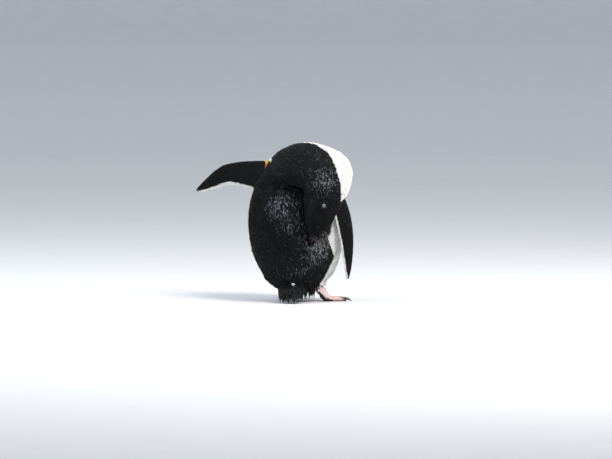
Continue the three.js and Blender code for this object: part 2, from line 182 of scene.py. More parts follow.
def triangle_mesh(name, points, faces):
    """A mesh of triangles from arrays, points in the bird's frame."""
    mesh = bpy.data.meshes.new(name)
    mesh.vertices.add(len(points))
    mesh.vertices.foreach_set("co", to_metres(points).astype(np.float32).ravel())
    mesh.loops.add(3 * len(faces))
    mesh.polygons.add(len(faces))
    mesh.loops.foreach_set("vertex_index", np.asarray(faces, np.int32).ravel())
    mesh.polygons.foreach_set("loop_start", np.arange(0, 3 * len(faces), 3, dtype=np.int32))
    mesh.update(calc_edges=True)
    return mesh


def points_of(mesh):
    flat = np.empty(3 * len(mesh.vertices), np.float32)
    mesh.vertices.foreach_get("co", flat)
    return to_bird(flat.reshape(-1, 3))


def normals_of(mesh):
    flat = np.empty(3 * len(mesh.vertices), np.float32)
    mesh.vertices.foreach_get("normal", flat)
    return flat.reshape(-1, 3).astype(float)


def move_points(mesh, points):
    mesh.vertices.foreach_set("co", to_metres(points).astype(np.float32).ravel())
    mesh.update()


def triangles_of(mesh):
    mesh.calc_loop_triangles()
    flat = np.empty(3 * len(mesh.loop_triangles), np.int32)
    mesh.loop_triangles.foreach_get("vertices", flat)
    return flat.reshape(-1, 3)


def welded(names, swell_by=0.0):
    """One mesh from copies of those nodes, their loose triangles merged."""
    whole = bmesh.new()
    for name in names:
        part = bmesh.new()
        part.from_mesh(NODES[name].data)
        bmesh.ops.remove_doubles(part, verts=part.verts, dist=WELD)
        part.normal_update()
        for vertex in part.verts:
            vertex.co += vertex.normal * swell_by / 1000
        copy = bpy.data.meshes.new("part")
        part.to_mesh(copy)
        part.free()
        whole.from_mesh(copy)
        bpy.data.meshes.remove(copy)
    mesh = bpy.data.meshes.new("welded")
    whole.to_mesh(mesh)
    whole.free()
    return mesh


def finished(thing, *modifiers):
    """The object's mesh after these modifiers, each (type, {setting: value})."""
    for kind, settings in modifiers:
        modifier = thing.modifiers.new(kind.lower(), kind)
        for key, value in settings.items():
            setattr(modifier, key, value)
    graph = bpy.context.evaluated_depsgraph_get()
    mesh = bpy.data.meshes.new_from_object(thing.evaluated_get(graph))
    thing.modifiers.clear()
    return mesh


print("corners of the trunk's loose triangles:", len(points_of(NODES["trunk"].data)))

# %% [markdown]
# Every point of the skin will belong to one part, which decides the depth of its plumage, the lie of its
# feathers and its marking. The nearest solid says which, through one search tree over all of them.

# %% Which part a point belongs to
LEGS = ["leg_left", "leg_right"]
FEATHERED = ["trunk", "neck_lower", "neck_upper", "head", *FLIPPERS, "tail", *LEGS]
BARE = ["foot_left", "foot_right"]
PARTS = FEATHERED + BARE
# The stretch of the body's guide that each part of the body may lie along, in stations.
WINDOWS = {"trunk": (0, 10.8), "neck_lower": (9.4, 13.5), "neck_upper": (12.5, 15.6), "head": (14.5, 21)}


def search_tree(names):
    """One search tree over those solids, and the number of the solid that each triangle is from."""
    places, faces, owner, base = [], [], [], 0
    for number, name in enumerate(names):
        mesh = NODES[name].data
        points = points_of(mesh)
        triangles = triangles_of(mesh)
        places.append(points)
        faces.append(triangles + base)
        owner += [number] * len(triangles)
        base += len(points)
    return BVHTree.FromPolygons(np.vstack(places).tolist(), np.vstack(faces).tolist()), np.array(owner)


SOLIDS, OWNER = search_tree(PARTS)


def parts_of(points):
    """The number in PARTS of the solid nearest to each point."""
    return OWNER[[SOLIDS.find_nearest(p)[2] for p in points.tolist()]]


def body_place(points, part):
    """Station, angle and sample number on the body's guide, for points of the parts it runs through."""
    station, angle = np.zeros(len(points)), np.zeros(len(points))
    sample = np.zeros(len(points), int)
    for name, (low, high) in WINDOWS.items():
        mine = part == PARTS.index(name)
        if mine.any():
            station[mine], angle[mine], sample[mine] = BODY.locate(points[mine], low, high)
    return station, angle, sample


def is_part(part, *names):
    return np.isin(part, [PARTS.index(name) for name in names])


print("solids of flesh:", len(PARTS), "with", len(OWNER), "triangles")

# %% [markdown]
# One skin covers trunk, neck, head, flippers, tail and legs, because a living bird shows no seam between
# them. The solids are copied, welded and swollen a little so that the thin cuts between them close, and a
# voxel remesh turns the pile into one even surface. Flippers are blades and feet are knuckly, so both need
# smaller voxels than the trunk: they are remeshed finer over a slimmer core, and joined to the rest with a
# boolean union. The tail has hardly any flesh, so its core is drawn back under the quills.

# %% Remesh the flesh
SKIN_VOXEL, FLIPPER_VOXEL, FOOT_VOXEL = 3.0, 1.75, 1.25
CLOSING = 0.35                                # mm that the solids swell, so that the cuts between them close
STUMP = 2.1                                   # the tail's station where its flesh ends
CORE_STEPS, CORE_SHARE = [0.5, 1.5], [1, 0.55]          # how slim a flipper's core is, by station
STUMP_STEPS, STUMP_SHARE = [0.3, 2.5], [1, 0.72]        # and the tail's
ANKLE_CUT, ANKLE_LIFT = 28, 9                 # mm above the floor, and mm up into the leg


def remeshed(source, voxel, smoothing):
    """One closed surface round that pile, with faces that many mm across."""
    pile = new_object("pile", source)
    mesh = finished(
        pile,
        ("REMESH", {"mode": "VOXEL", "voxel_size": voxel / 1000}),
        ("SMOOTH", {"factor": 0.5, "iterations": smoothing}),
    )
    bpy.data.objects.remove(pile)
    return mesh


def with_slim_cores(source):
    """Draws the flippers in to a core behind their roots, and the tail to a stump."""
    points = points_of(source)
    part = parts_of(points)
    for name, (guide, edges, _) in FLIPPERS.items():
        mine = is_part(part, name)
        station, _, near = guide.locate(points[mine], 0, len(edges) - 1)
        core = guide.middle[near]
        slim = np.interp(station, CORE_STEPS, CORE_SHARE)[:, None]
        points[mine] = core + (points[mine] - core) * slim
    mine = is_part(part, "tail")
    station, _, near = TAIL.locate(points[mine], 0, 4)
    stump = np.minimum(near, int(STUMP * STEPS))
    slim = np.interp(station, STUMP_STEPS, STUMP_SHARE)[:, None]
    points[mine] = TAIL.middle[stump] + (points[mine] - TAIL.middle[near]) * slim
    move_points(source, points)
    return source


def with_high_ankles(source):
    """Draws the cut tops of the ankles up into the legs, so that the union has something to bite on."""
    points = points_of(source)
    points[points[:, 2] > ANKLE_CUT, 2] += ANKLE_LIFT
    move_points(source, points)
    return source


body_mesh = remeshed(with_slim_cores(welded(FEATHERED, CLOSING)), SKIN_VOXEL, 7)
blade_mesh = remeshed(welded(list(FLIPPERS), CLOSING), FLIPPER_VOXEL, 3)
foot_mesh = remeshed(with_high_ankles(welded(BARE, CLOSING)), FOOT_VOXEL, 4)
print("points: body", len(body_mesh.vertices), "flippers", len(blade_mesh.vertices), "feet",
      len(foot_mesh.vertices))

# %% [markdown]
# The solids reach out to the feather tips, so the skin has to sink by the depth of the plumage: most on the
# trunk, and next to nothing at the bill and on the flippers' scale-like feathers. A blade is sunk from both
# sides at once, so a ray through it measures how thick it is there, and its depth is kept to a share of that.

# %% Depth of the plumage
DEPTH = ([0, 1.5, 12, 14, 16, 18.5, 21], [4.5, 6.5, 6.5, 5.2, 3.4, 2.6, 1.2])
LIMB_DEPTH = {"flipper_left": 1.2, "flipper_right": 1.2, "tail": 3.2, "leg_left": 2.0, "leg_right": 2.0}
THIN_SHARE = 0.3                              # the most of a blade's thickness that its plumage takes
RAY_START = 0.05                              # mm inside the surface
EVENINGS = 12                                 # passes that even the depth out between neighbours


def plumage_depth(points, part):
    station, _, _ = body_place(points, part)
    depth = np.interp(station, *DEPTH)
    for name, value in LIMB_DEPTH.items():
        depth[is_part(part, name)] = value
    return depth


def sink(mesh):
    """Moves a mesh inward by the depth of its plumage, evened out from point to point."""
    points, normals = points_of(mesh), normals_of(mesh)
    part = parts_of(points)
    depth = plumage_depth(points, part)
    tree = BVHTree.FromPolygons(points.tolist(), triangles_of(mesh).tolist())
    thin = np.flatnonzero(is_part(part, *FLIPPERS, "tail"))
    starts = points[thin] - normals[thin] * RAY_START
    for i, start, inward in zip(thin, starts.tolist(), (-normals[thin]).tolist()):
        hit = tree.ray_cast(start, inward)
        if hit[0] is not None:
            depth[i] = min(depth[i], THIN_SHARE * hit[3])
    edges = np.empty(2 * len(mesh.edges), np.int32)
    mesh.edges.foreach_get("vertices", edges)
    a, b = edges.reshape(-1, 2).T
    count = np.maximum(np.bincount(np.concatenate([a, b]), minlength=len(points)), 1)
    for _ in range(EVENINGS):
        neighbours = np.zeros(len(points))
        np.add.at(neighbours, a, depth[b])
        np.add.at(neighbours, b, depth[a])
        depth = (depth + neighbours / count) / 2
    move_points(mesh, points - normals * (depth + CLOSING)[:, None])
    print("plumage depth from", depth.min().round(2), "to", depth.max().round(2), "mm")


sink(body_mesh)
sink(blade_mesh)
move_points(foot_mesh, points_of(foot_mesh) - normals_of(foot_mesh) * CLOSING)

# %% [markdown]
# Lids are folds of the same skin. A resting bird of this kind lets them half close over a dark eye, and their
# bare edge is a white ring. Each pair is made as one closed rim: it starts under the feathers, climbs over
# the eyeball a little proud of it, and turns in again at an almond opening that points along the head.

# %% Lids round each eye
LID_RADIUS = 8.75                   # mm from the eyeball's middle to the lids' outer side
LID_ROOT = 9.4                      # mm from the eye's axis to where the lids leave the head's skin
LID_DIP = 1.6                       # mm that they start below the feathers
OPENING = (4.3, 2.3, 2.5)           # half its length, and its height above and below the middle
EDGE_ROUND = 0.5                    # mm that the turned edge narrows the opening
LID_INSIDE = ((0.25, 7.9), (1.2, 7.4), (3.0, 7.0))      # mm behind the edge, and from the eyeball's middle
LID_WHITE = 1.75                    # how far the white edge reaches from the opening
LID_STEPS, LID_RINGS = 44, 16


def eye_axes(name):
    """Middle of the eyeball, and the directions out of the head, to the bill and to the crown."""
    low, high = (to_bird(corner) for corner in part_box(name))
    middle = (low + high) / 2
    _, angle, near = BODY.locate(middle[None], 15, 16.5)
    outward = BODY.left[near[0]] * np.sign(angle[0])
    forward = BODY.along[near[0]]
    return middle, outward, forward, -BODY.front[near[0]]


def opening_edge(turn):
    """How far the opening's edge lies from its middle, in each direction round it."""
    tall = np.where(np.sin(turn) > 0, OPENING[1], OPENING[2])
    return 1 / np.sqrt((np.cos(turn) / OPENING[0])**2 + (np.sin(turn) / tall)**2)


def lid_rim(name):
    """Points, faces and whiteness of one closed rim of lids, ring by ring from its root to its inside."""
    middle, outward, forward, crown = eye_axes(name)
    turn = np.linspace(0, math.tau, LID_STEPS, endpoint=False)
    cos, sin = np.cos(turn), np.sin(turn)
    inner = opening_edge(turn)
    rings = []
    for k in range(LID_RINGS):
        part = k / (LID_RINGS - 1)
        reach = LID_ROOT + (inner - LID_ROOT) * part**0.8
        lift = np.sqrt(np.maximum(LID_RADIUS**2 - reach**2, 0)) - LID_DIP * (1 - part)**4
        rings.append((reach, np.maximum(lift, 2.0)))
    for behind, radius in LID_INSIDE:
        reach = np.minimum(inner + behind - EDGE_ROUND, 6.9)
        rings.append((reach, np.sqrt(radius**2 - reach**2)))
    rings.append((np.full(LID_STEPS, LID_ROOT - LID_DIP), np.full(LID_STEPS, 0.4)))
    points = np.vstack([
        middle + (reach * cos)[:, None] * forward + (reach * sin)[:, None] * crown
        + lift[:, None] * outward for reach, lift in rings
    ])
    faces = []
    for k in range(len(rings)):
        for i in range(LID_STEPS):
            j = (i + 1) % LID_STEPS
            a, b = k * LID_STEPS, (k + 1) % len(rings) * LID_STEPS
            faces += [(a + i, b + i, a + j), (a + j, b + i, b + j)]
    faces = np.array(faces)
    side = points[faces]
    volume = np.einsum("ij,ij->", side[:, 0], np.cross(side[:, 1], side[:, 2]))
    white = np.concatenate([np.clip((LID_WHITE - reach + inner) / 0.4 + 0.5, 0, 1) for reach, _ in rings])
    return points, faces if volume > 0 else faces[:, ::-1], white


EYES = {name: eye_axes(name) for name in ("eye_left", "eye_right")}
lids = [lid_rim(name) for name in EYES]
print("eye middles", {name: axes[0].round(1).tolist() for name, axes in EYES.items()})

# %% [markdown]
# The three remeshed shapes are now one animal. A boolean union keeps the finer faces where they are, and its
# manifold solver is quick on closed shapes. The lids stand free of the skull under the feathers, so they are
# only added to the same mesh. The part that each point belongs to is worked out anew for the joined skin.

# %% Join body, flippers, feet and lids
body = new_object("skin", body_mesh)
limbs = [new_object("feet", foot_mesh), new_object("blades", blade_mesh)]
joins = [("BOOLEAN", {"operation": "UNION", "object": limb, "solver": "MANIFOLD"}) for limb in limbs]
union = finished(body, *joins)
for limb in limbs:
    bpy.data.objects.remove(limb)
points, faces = points_of(union), triangles_of(union)
part = parts_of(points)
rim_white = np.zeros(len(points))
for lid_points, lid_faces, white in lids:
    faces = np.vstack([faces, lid_faces + len(points)])
    points = np.vstack([points, lid_points])
    part = np.concatenate([part, np.full(len(lid_points), len(PARTS))])
    rim_white = np.concatenate([rim_white, white])
skin_mesh = triangle_mesh("skin", points, faces)
body.data = skin_mesh
skin = body
print("skin", len(points), "points,", len(faces), "triangles")

# %% [markdown]
# Black above and white below is the whole dress of this species, but where the two meet is what makes it
# look right: a straight line down the flank, a narrow white foreneck, and a bib that ends in a point under
# the black head. The borders are a short table of angles round the body at each station. Skin and feathers
# ask the same function, so the colour under a parted feather is always the right one.

# %% Markings
MARKS = np.array([                            # station, and degrees to the white's right and left border
    (0, -96, 96), (2.3, -96, 96), (4.1, -95, 96), (4.6, -89, 97), (5.1, -97, 98), (5.7, -106, 100),
    (6.5, -95, 99), (8, -88, 92), (9, -78, 82), (10, -60, 66), (11, -43, 48), (11.9, -33, 33),
    (12.5, -37, 37), (13, -41, 43), (13.5, -38, 42), (14, -30, 40), (14.4, -6, 36), (14.8, 16, 29),
    (15.05, 24, 24), (15.3, 50, 5), (21, 50, 5),
])
MARGINS = {                                   # stations, and mm of white along the trailing edge at each
    "flipper_left": ([0, 1.8, 2.6, 4, 5, 6, 7, 9], [0, 0, 7, 10.5, 11.5, 9, 6, 3.5]),
    "flipper_right": ([0, 1.5, 3.0, 7.0, 9], [0, 0, 5.5, 4.5, 2.0]),
}
EDGE_SOFT = 1.6                               # degrees over which black turns white
UNDER_EDGE, UNDER_END = 4, 8.1                # mm of black at the leading edge, station where black begins


def soft_step(value, width):
    return np.clip(value / width + 0.5, 0, 1)


def flipper_place(name, points, normals):
    """Station, sample number, whether on the upper side, and mm from the leading and trailing edges."""
    guide, edges, upper = FLIPPERS[name]
    station, _, near = guide.locate(points, 0, len(edges) - 1)
    lead = dot(points - guide.middle[near], guide.front[near])[:, 0]
    above = dot(normals, guide.left[near])[:, 0] * upper
    fore = np.interp(station, np.arange(len(edges)), edges[:, 0])
    aft = np.interp(station, np.arange(len(edges)), edges[:, 1])
    return station, near, above, fore - lead, aft + lead


def paleness(points, normals, part):
    """How white the plumage is at each point, from 0 to 1."""
    pale = np.zeros(len(points))
    station, angle, _ = body_place(points, part)
    on_body = is_part(part, *WINDOWS)
    ragged = 0.9 * swell(points, 30, 3) + 0.7 * swell(points, 6, 4)
    right = np.interp(station, MARKS[:, 0], MARKS[:, 1])
    left = np.interp(station, MARKS[:, 0], MARKS[:, 2])
    inside = np.minimum(angle - right, left - angle) + ragged
    pale[on_body] = soft_step(inside, EDGE_SOFT)[on_body]
    for name, (steps, margin) in MARGINS.items():
        mine = is_part(part, name)
        if mine.any():
            along, _, above, from_lead, from_trail = flipper_place(name, points[mine], normals[mine])
            wave = 0.5 * swell(points[mine], 9, 6)
            top = soft_step(np.interp(along, steps, margin) - from_trail + wave, 1.0)
            under = soft_step(from_lead - UNDER_EDGE + wave, 1.5) * soft_step(UNDER_END - along, 0.5)
            clear_of_armpit = (along > 0.7) & (above < -0.1) | (along > 1.6)
            pale[mine] = np.where(above > 0.1, top, np.where(clear_of_armpit, under, 0))
    legs = is_part(part, *LEGS)
    pale[legs] = soft_step(-normals[legs, 1] - 0.1, 0.4) * 0.9
    return pale


print("white from", MARKS[0, 1], "to", MARKS[0, 2], "degrees round the belly")

# %% [markdown]
# The skin shows on the feet, round the eyes and where feathers part, so it carries its own colours as values
# on its points: how white the plumage over it is, how dark the sole, and how white the lid's edge. The feet
# of this species are pink above with black soles and heels, and past a set distance from the heel the toes
# are drawn dark as well.

# %% Mark the skin
HEELS = {"left": (47, 2), "right": (-60, -4)}
BARE_BELOW, BARE_REACH = 48.0, 19.5           # mm above the floor and from the heel that a leg is bare
TOE_DARK = 57.0                               # mm from the heel where the toes turn dark
UNDER_FEATHERS, ON_FOOT, ON_LID = 0, 1, 2     # the kinds of skin, each with its own material
skin_points, skin_normals = points_of(skin_mesh), normals_of(skin_mesh)
skin_pale = np.zeros(len(skin_points))
flesh = part < len(PARTS)
skin_pale[flesh] = paleness(skin_points[flesh], skin_normals[flesh], part[flesh])


def foot_forward(side):
    """The way a foot points, level, in the bird's frame."""
    claw = sum(to_bird(corner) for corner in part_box("claw_" + side + "_middle")) / 2
    towards = claw - sum(to_bird(corner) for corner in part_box("foot_" + side)) / 2
    towards[2] = 0
    return unit(towards)


def on_bare_leg(points, part):
    near = [np.linalg.norm(points[:, :2] - heel, axis=1) < BARE_REACH for heel in HEELS.values()]
    legs = is_part(part, *LEGS) & (near[0] | near[1])
    return (legs | is_part(part, *BARE)) & (points[:, 2] < BARE_BELOW)


bare = on_bare_leg(skin_points, part)
sole = np.zeros(len(skin_points))
for side, heel in HEELS.items():
    mine = is_part(part, "foot_" + side, "leg_" + side)
    forward = foot_forward(side)
    behind = -(skin_normals[mine] @ forward)
    out = (skin_points[mine, :2] - heel) @ forward[:2]
    dark = np.maximum(-skin_normals[mine, 2] - 0.35, behind - 0.72)
    sole[mine] = np.maximum(soft_step(dark, 0.25), soft_step(out - TOE_DARK, 14))
kind = np.where(flesh, np.where(bare, ON_FOOT, UNDER_FEATHERS), ON_LID)


def add_values(mesh, name, values):
    layer = mesh.attributes.new(name, "FLOAT", "POINT")
    layer.data.foreach_set("value", np.asarray(values, np.float32))


add_values(skin_mesh, "pale", skin_pale)
add_values(skin_mesh, "sole", sole)
add_values(skin_mesh, "rim", rim_white)
face_kind = kind[faces].min(axis=1)
skin_mesh.polygons.foreach_set("material_index", face_kind.astype(np.int32))
skin_mesh.polygons.foreach_set("use_smooth", np.ones(len(faces), bool))
print("skin faces: under feathers, foot, lid", np.bincount(face_kind).tolist())

# %% [markdown]
# Node trees are built in two places here: one sows the feathers' roots, and one shades each material. A small
# function adds any node with its settings, constants and links at once, and hands back one of its outputs, so
# that a tree reads as a short recipe. Colours are picked as sRGB hex values, as a paint chart gives them, and
# turned to the linear values that a shader works in.

# %% Colour and node helpers
def linear(hex_colour):
    parts = [int(hex_colour[i:i + 2], 16) / 255 for i in (1, 3, 5)]
    return [c / 12.92 if c <= 0.04045 else ((c + 0.055) / 1.055)**2.4 for c in parts] + [1.0]


def node(tree, kind, output=0, settings=None, **inputs):
    """Adds a node and returns one of its outputs.

    An input goes by its name, or by its number as in i0, and is a constant, a hex colour or an output."""
    made = tree.nodes.new(kind)
    for key, value in (settings or {}).items():
        setattr(made, key, value)
    for key, value in inputs.items():
        numbered = key[0] == "i" and key[1:].isdigit()
        socket = made.inputs[int(key[1:]) if numbered else key.replace("_", " ")]
        if isinstance(value, bpy.types.NodeSocket):
            tree.links.new(value, socket)
        elif isinstance(value, str) and value[0] == "#":
            socket.default_value = linear(value)
        else:
            socket.default_value = value
    return made.outputs[output]


print("mid grey is", round(linear("#808080")[0], 3), "in linear light")

# %% [markdown]
# Each contour feather of a penguin is short, stiff and pointed, and it stands about three millimetres from
# the next. Their roots are spread over the skin with Geometry Nodes: Poisson sampling keeps them evenly
# apart without any visible rows. The same tree serves every tract, with its own spacing and seed.

# %% Roots of the feathers
TRACTS = {                                    # parts, mm from root to root, seed
    "body": (["trunk", "neck_lower"], 2.2, 11),
    "nape": (["neck_upper"], 2.0, 12),
    "head": (["head"], 1.6, 13),
    "flippers": (["flipper_left", "flipper_right"], 2.0, 14),
    "tail": (["tail", "leg_left", "leg_right"], 2.3, 15),
}
TRIES = 3.2                                   # places tried for each root, so that no gap stays open


def roots_tree():
    tree = bpy.data.node_groups.new("feather_roots", "GeometryNodeTree")
    for name, kind in (("Skin", "Geometry"), ("Spacing", "Float"), ("Tract", "Int"), ("Seed", "Int")):
        tree.interface.new_socket(name, in_out="INPUT", socket_type="NodeSocket" + kind)
    tree.interface.new_socket("Roots", in_out="OUTPUT", socket_type="NodeSocketGeometry")
    given = tree.nodes.new("NodeGroupInput").outputs
    tract = node(tree, "GeometryNodeInputNamedAttribute", "Attribute", {"data_type": "INT"}, Name="tract")
    mine = node(tree, "FunctionNodeCompare", "Result", {"data_type": "INT", "operation": "EQUAL"},
                i2=tract, i3=given["Tract"])
    per_area = node(tree, "ShaderNodeMath", 0, {"operation": "POWER"}, i0=given["Spacing"], i1=-2.0)
    tried = node(tree, "ShaderNodeMath", 0, {"operation": "MULTIPLY"}, i0=per_area, i1=TRIES)
    sown = node(tree, "GeometryNodeDistributePointsOnFaces", "Points", {"distribute_method": "POISSON"},
                Mesh=given["Skin"], Selection=mine, Distance_Min=given["Spacing"], Density_Max=tried,
                Seed=given["Seed"])
    roots = node(tree, "GeometryNodePointsToVertices", "Mesh", Points=sown)
    tree.links.new(roots, tree.nodes.new("NodeGroupOutput").inputs[0])
    return tree


tract_of_part = np.full(len(PARTS) + 1, -1)
for number, (names, _, _) in enumerate(TRACTS.values()):
    for name in names:
        tract_of_part[PARTS.index(name)] = number
ground = skin_mesh.copy()
layer = ground.attributes.new("tract", "INT", "FACE")
layer.data.foreach_set("value", tract_of_part[part[faces[:, 0]]].astype(np.int32))
sower = new_object("sower", ground)
tree = roots_tree()
sockets = {item.name: item.identifier for item in tree.interface.items_tree if item.in_out == "INPUT"}
roots = {}
for number, (name, (_, spacing, seed)) in enumerate(TRACTS.items()):
    modifier = sower.modifiers.new(name, "NODES")
    modifier.node_group = tree
    modifier[sockets["Spacing"]] = spacing / 1000
    modifier[sockets["Tract"]] = number
    modifier[sockets["Seed"]] = seed
    sown = finished(sower)
    roots[name] = points_of(sown)
    bpy.data.meshes.remove(sown)
bpy.data.objects.remove(sower)
print("roots", {name: len(places) for name, places in roots.items()})

# %% [markdown]
# A feather is a thin pointed vane with a ridge along its shaft. Three rings of three points and a tip close
# it in sixteen faces, few enough to lay tens of thousands of them. Each ring is walked over the skin from the
# one before, so a long feather bends with the body, and its height above the skin decides whether it lies
# sleek or stands out. All vanes of a tract are made at once from arrays and joined into one mesh.

# %% Laying vanes over the skin
tree_faces = faces[kind[faces].max(axis=1) < 2]
SKIN_TREE = BVHTree.FromPolygons(skin_points.tolist(), tree_faces.tolist())
FACE_NORMAL = unit(skin_normals[tree_faces].sum(axis=1))
FACE_PART = part[tree_faces[:, 0]]


def on_skin(points):
    """The nearest place on the skin, its normal and its part, for each point."""
    places, index = np.empty((len(points), 3)), np.empty(len(points), int)
    for i, point in enumerate(points.tolist()):
        place, _, face, _ = SKIN_TREE.find_nearest(point)
        places[i] = place
        index[i] = face
    return places, FACE_NORMAL[index], FACE_PART[index]


def level(direction, normals):
    """The direction laid flat on the skin."""
    return unit(direction - dot(direction, normals) * normals)


# A vane's rings: how far along it each is, and its share of the width and of the height above the skin.
STEPS_ALONG = np.array([0.0, 0.42, 0.78, 1.0])
STEP_WIDTH = np.array([0.55, 1.0, 0.74, 0.0])
STEP_RISE = np.array([-0.06, 0.62, 0.93, 1.0])
SLEEK = (STEPS_ALONG, STEP_WIDTH, STEP_RISE)
RIDGE, RIDGE_LEAST = 0.13, 0.05               # the shaft's height as a share of the width, and mm at least


def vane_faces(rings, count):
    """Faces for that many vanes, each a tube of rings of three points, closed by a base and a pointed tip."""
    faces = [(0, 2, 1)]
    for k in range(rings - 2):
        a = 3 * k
        for p, q in ((0, 1), (1, 2), (2, 0)):
            faces += [(a + p, a + q, a + 3 + p), (a + q, a + 3 + q, a + 3 + p)]
    a, tip = 3 * (rings - 2), 3 * (rings - 1)
    faces += [(a, a + 1, tip), (a + 1, a + 2, tip), (a + 2, a, tip)]
    return (np.array(faces)[None] + (np.arange(count) * (tip + 1))[:, None, None]).reshape(-1, 3)


def vane_fraction(along):
    """How far along its feather each point of a vane is."""
    return np.concatenate([np.repeat(along[:-1], 3), [1.0]])


def vanes(roots, normals, lie, length, width, rise, lift, roll, steps):
    """The points of vanes laid over the skin, as feathers x points x 3."""
    along, wide, high = steps
    rings, count = len(along), len(roots)
    middle = np.empty((rings, count, 3))
    side, up = np.empty((rings, count, 3)), np.empty((rings, count, 3))
    place, normal, direction = roots, normals, level(lie, normals)
    for k in range(rings):
        if k:
            stride = (along[k] - along[k - 1]) * length[:, None]
            place, normal, _ = on_skin(place + direction * stride)
            direction = level(direction, normal)
        stand = np.where(lift > 0, high[k] * (1 - lift) + along[k]**1.3 * lift, high[k])
        middle[k] = place + normal * (rise * stand * (1 + lift))[:, None]
        across = np.cross(normal, direction)
        side[k] = across * np.cos(roll)[:, None] + normal * np.sin(roll)[:, None]
        up[k] = normal * np.cos(roll)[:, None] - across * np.sin(roll)[:, None]
    points = []
    for k in range(rings - 1):
        half = (wide[k] * width / 2)[:, None]
        ridge = (RIDGE * wide[k] * width + RIDGE_LEAST)[:, None]
        points += [middle[k] - side[k] * half, middle[k] + up[k] * ridge, middle[k] + side[k] * half]
    points.append(middle[-1])
    return np.stack(points, axis=1)


print("faces of one vane:", len(vane_faces(len(STEPS_ALONG), 1)))

# %% [markdown]
# Where a feather sits decides its size, its lie and how it stands. Sizes are tables along the body, largest
# on the trunk and finest at the bill. The lie follows the guide of the part, turned a little by a smooth
# random field so that neighbours clump, as damp feathers do. Where the bill is pushed into the back the
# feathers are parted, stand up, and show their white down.

# %% Size and lie of the feathers
# Length and width in mm, at stations along the body.
LENGTH = ([0, 2, 10, 13, 15, 17, 19, 21], [12, 14.5, 14.5, 12, 9.5, 7, 5.2, 3.4])
WIDTH = ([0, 2, 10, 13, 15, 17, 19, 21], [3.0, 3.1, 3.1, 2.8, 2.4, 2.0, 1.7, 1.3])
# Places where the plumage is parted to its down, where it stands rough, and where it is tipped with grey
# and painted glints of light, each with its reach in mm and its strength.
PARTED = [((-112, 42, 178), 22, 1.0), ((-96, 68, 160), 22, 0.9), ((-66, 97, 176), 8, 1.0),
          ((-108, 45, 150), 24, 0.9), ((-88, 72, 124), 20, 0.5)]
ROUGH = [((-20, 102, 262), 45, 0.4), ((-150, 100, 318), 35, 0.4), ((-60, 90, 95), 45, 0.5),
         ((55, 60, 48), 40, 0.8), ((-10, 80, 42), 40, 0.7)]
# Painted highlight: near these spots more black feathers get light grey tips, for their bluish-grey tips and
# for glints of light on wet plumage.
TIP_AND_GLINT_SPOTS = [((-12, 103, 262), 36, 1.0), ((-150, 100, 316), 30, 0.9), ((-38, 104, 222), 30, 0.6),
           ((-94, 70, 150), 38, 0.8), ((-60, 92, 96), 36, 0.5), ((-118, 60, 365), 34, 0.25)]
# The flipper's bead and strap press the coat down beside them.
BEAD = sum(to_bird(corner) for name in ("tag_yellow", "tag_orange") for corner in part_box(name)) / 4
PRESSED = [(BEAD, 18, 1.0), (BEAD + (-9, 17, -10), 24, 1.0)]


def near_to(points, spots):
    """How strongly the nearest of those spots works on each point, from 0 to 1."""
    total = np.zeros(len(points))
    for place, size, strength in spots:
        away = ((points - np.array(place))**2).sum(axis=1)
        total = np.maximum(total, strength * np.exp(-away / size**2))
    return total


def lie_of(points, normals, part):
    """The way that feathers point, laid on the skin: to the tail, to the blade's tip or down the leg."""
    lie = np.zeros((len(points), 3))
    station, _, sample = body_place(points, part)
    on_body = is_part(part, *WINDOWS)
    lie[on_body] = -BODY.along[sample[on_body]] + np.array([0, 0.3, 0]) * (station[on_body, None] < 4)
    for name, (guide, _, _) in FLIPPERS.items():
        mine = is_part(part, name)
        if mine.any():
            near = flipper_place(name, points[mine], normals[mine])[1]
            lie[mine] = guide.along[near] - 0.35 * guide.front[near]
    tail = is_part(part, "tail")
    if tail.any():
        lie[tail] = TAIL.along[TAIL.locate(points[tail], 0, 4)[2]]
    lie[is_part(part, *LEGS)] = (0, -0.2, -1)
    return level(lie, normals)


def turned(lie, normals, angle):
    side = np.cross(normals, lie)
    return lie * np.cos(angle)[:, None] + side * np.sin(angle)[:, None]


print("length", max(LENGTH[1]), "to", min(LENGTH[1]), "mm, width", max(WIDTH[1]), "to", min(WIDTH[1]), "mm")

# %% [markdown]
# The next function works all that out for one tract, as arrays with one row for each feather. Chance comes
# from one seeded generator for each tract, so every run lays the same coat. White feathers lie sleeker than
# black ones, whose grey tips carry painted glints of light, and the hem over the tail is longer than the
# rest.
# Last, what would hang over the bare legs is trimmed.

# %% Every feather of a tract
LENGTH_CHANCE, WIDTH_CHANCE = (0.85, 1.15), (0.9, 1.15)     # least and most share of the full size
RISE_CHANCE = (0.72, 0.98)
CLUMP_SIZE, PARTED_SIZE = 11, 20              # mm across a clump, and across a turn of parted feathers
TURN_CLUMP, TURN_CHANCE, TURN_PARTED = 0.16, 0.1, 0.5       # radians of turn to the side
ROLL_CLUMP, ROLL_CHANCE = 0.12, 0.16          # radians of roll about the shaft
LIFT_PARTED, LIFT_ROUGH, LIFT_CLUMP, LIFT_STRAY = 0.9, 0.45, 0.12, 0.3
ROUGH_ONES, STRAY_ONES, DOWNY_ONES = 0.35, 0.03, 0.42       # share of the feathers that each befalls
COMBED, SLEEKER, WIDER = 1.2, 0.6, 0.2        # how much truer, more even and wider white feathers lie
HEM_SPAN, HEM_LONGER = (2.0, 105), 0.7        # station and degrees from the throat where the hem begins
TARSUS_TOP, TARSUS_REACH = 45.0, 30.0         # mm above the floor and from the heel, kept clear of feathers
SHORTEST = 4.5                                # mm left of a feather that is trimmed there
UNDER_BEAD = 13                               # mm round the bead without feathers
TAIL_SIZE = (22, 5.0)
LEG_SIZE, LEG_BEHIND = (4.5, 3.4), 17         # mm; the tarsal feathers are that much longer behind the leg
TIP_GLINT_LEAST, TIP_GLINT_MORE = 0.03, 0.42          # share of feathers with grey tips and painted glints, and the most that spots add
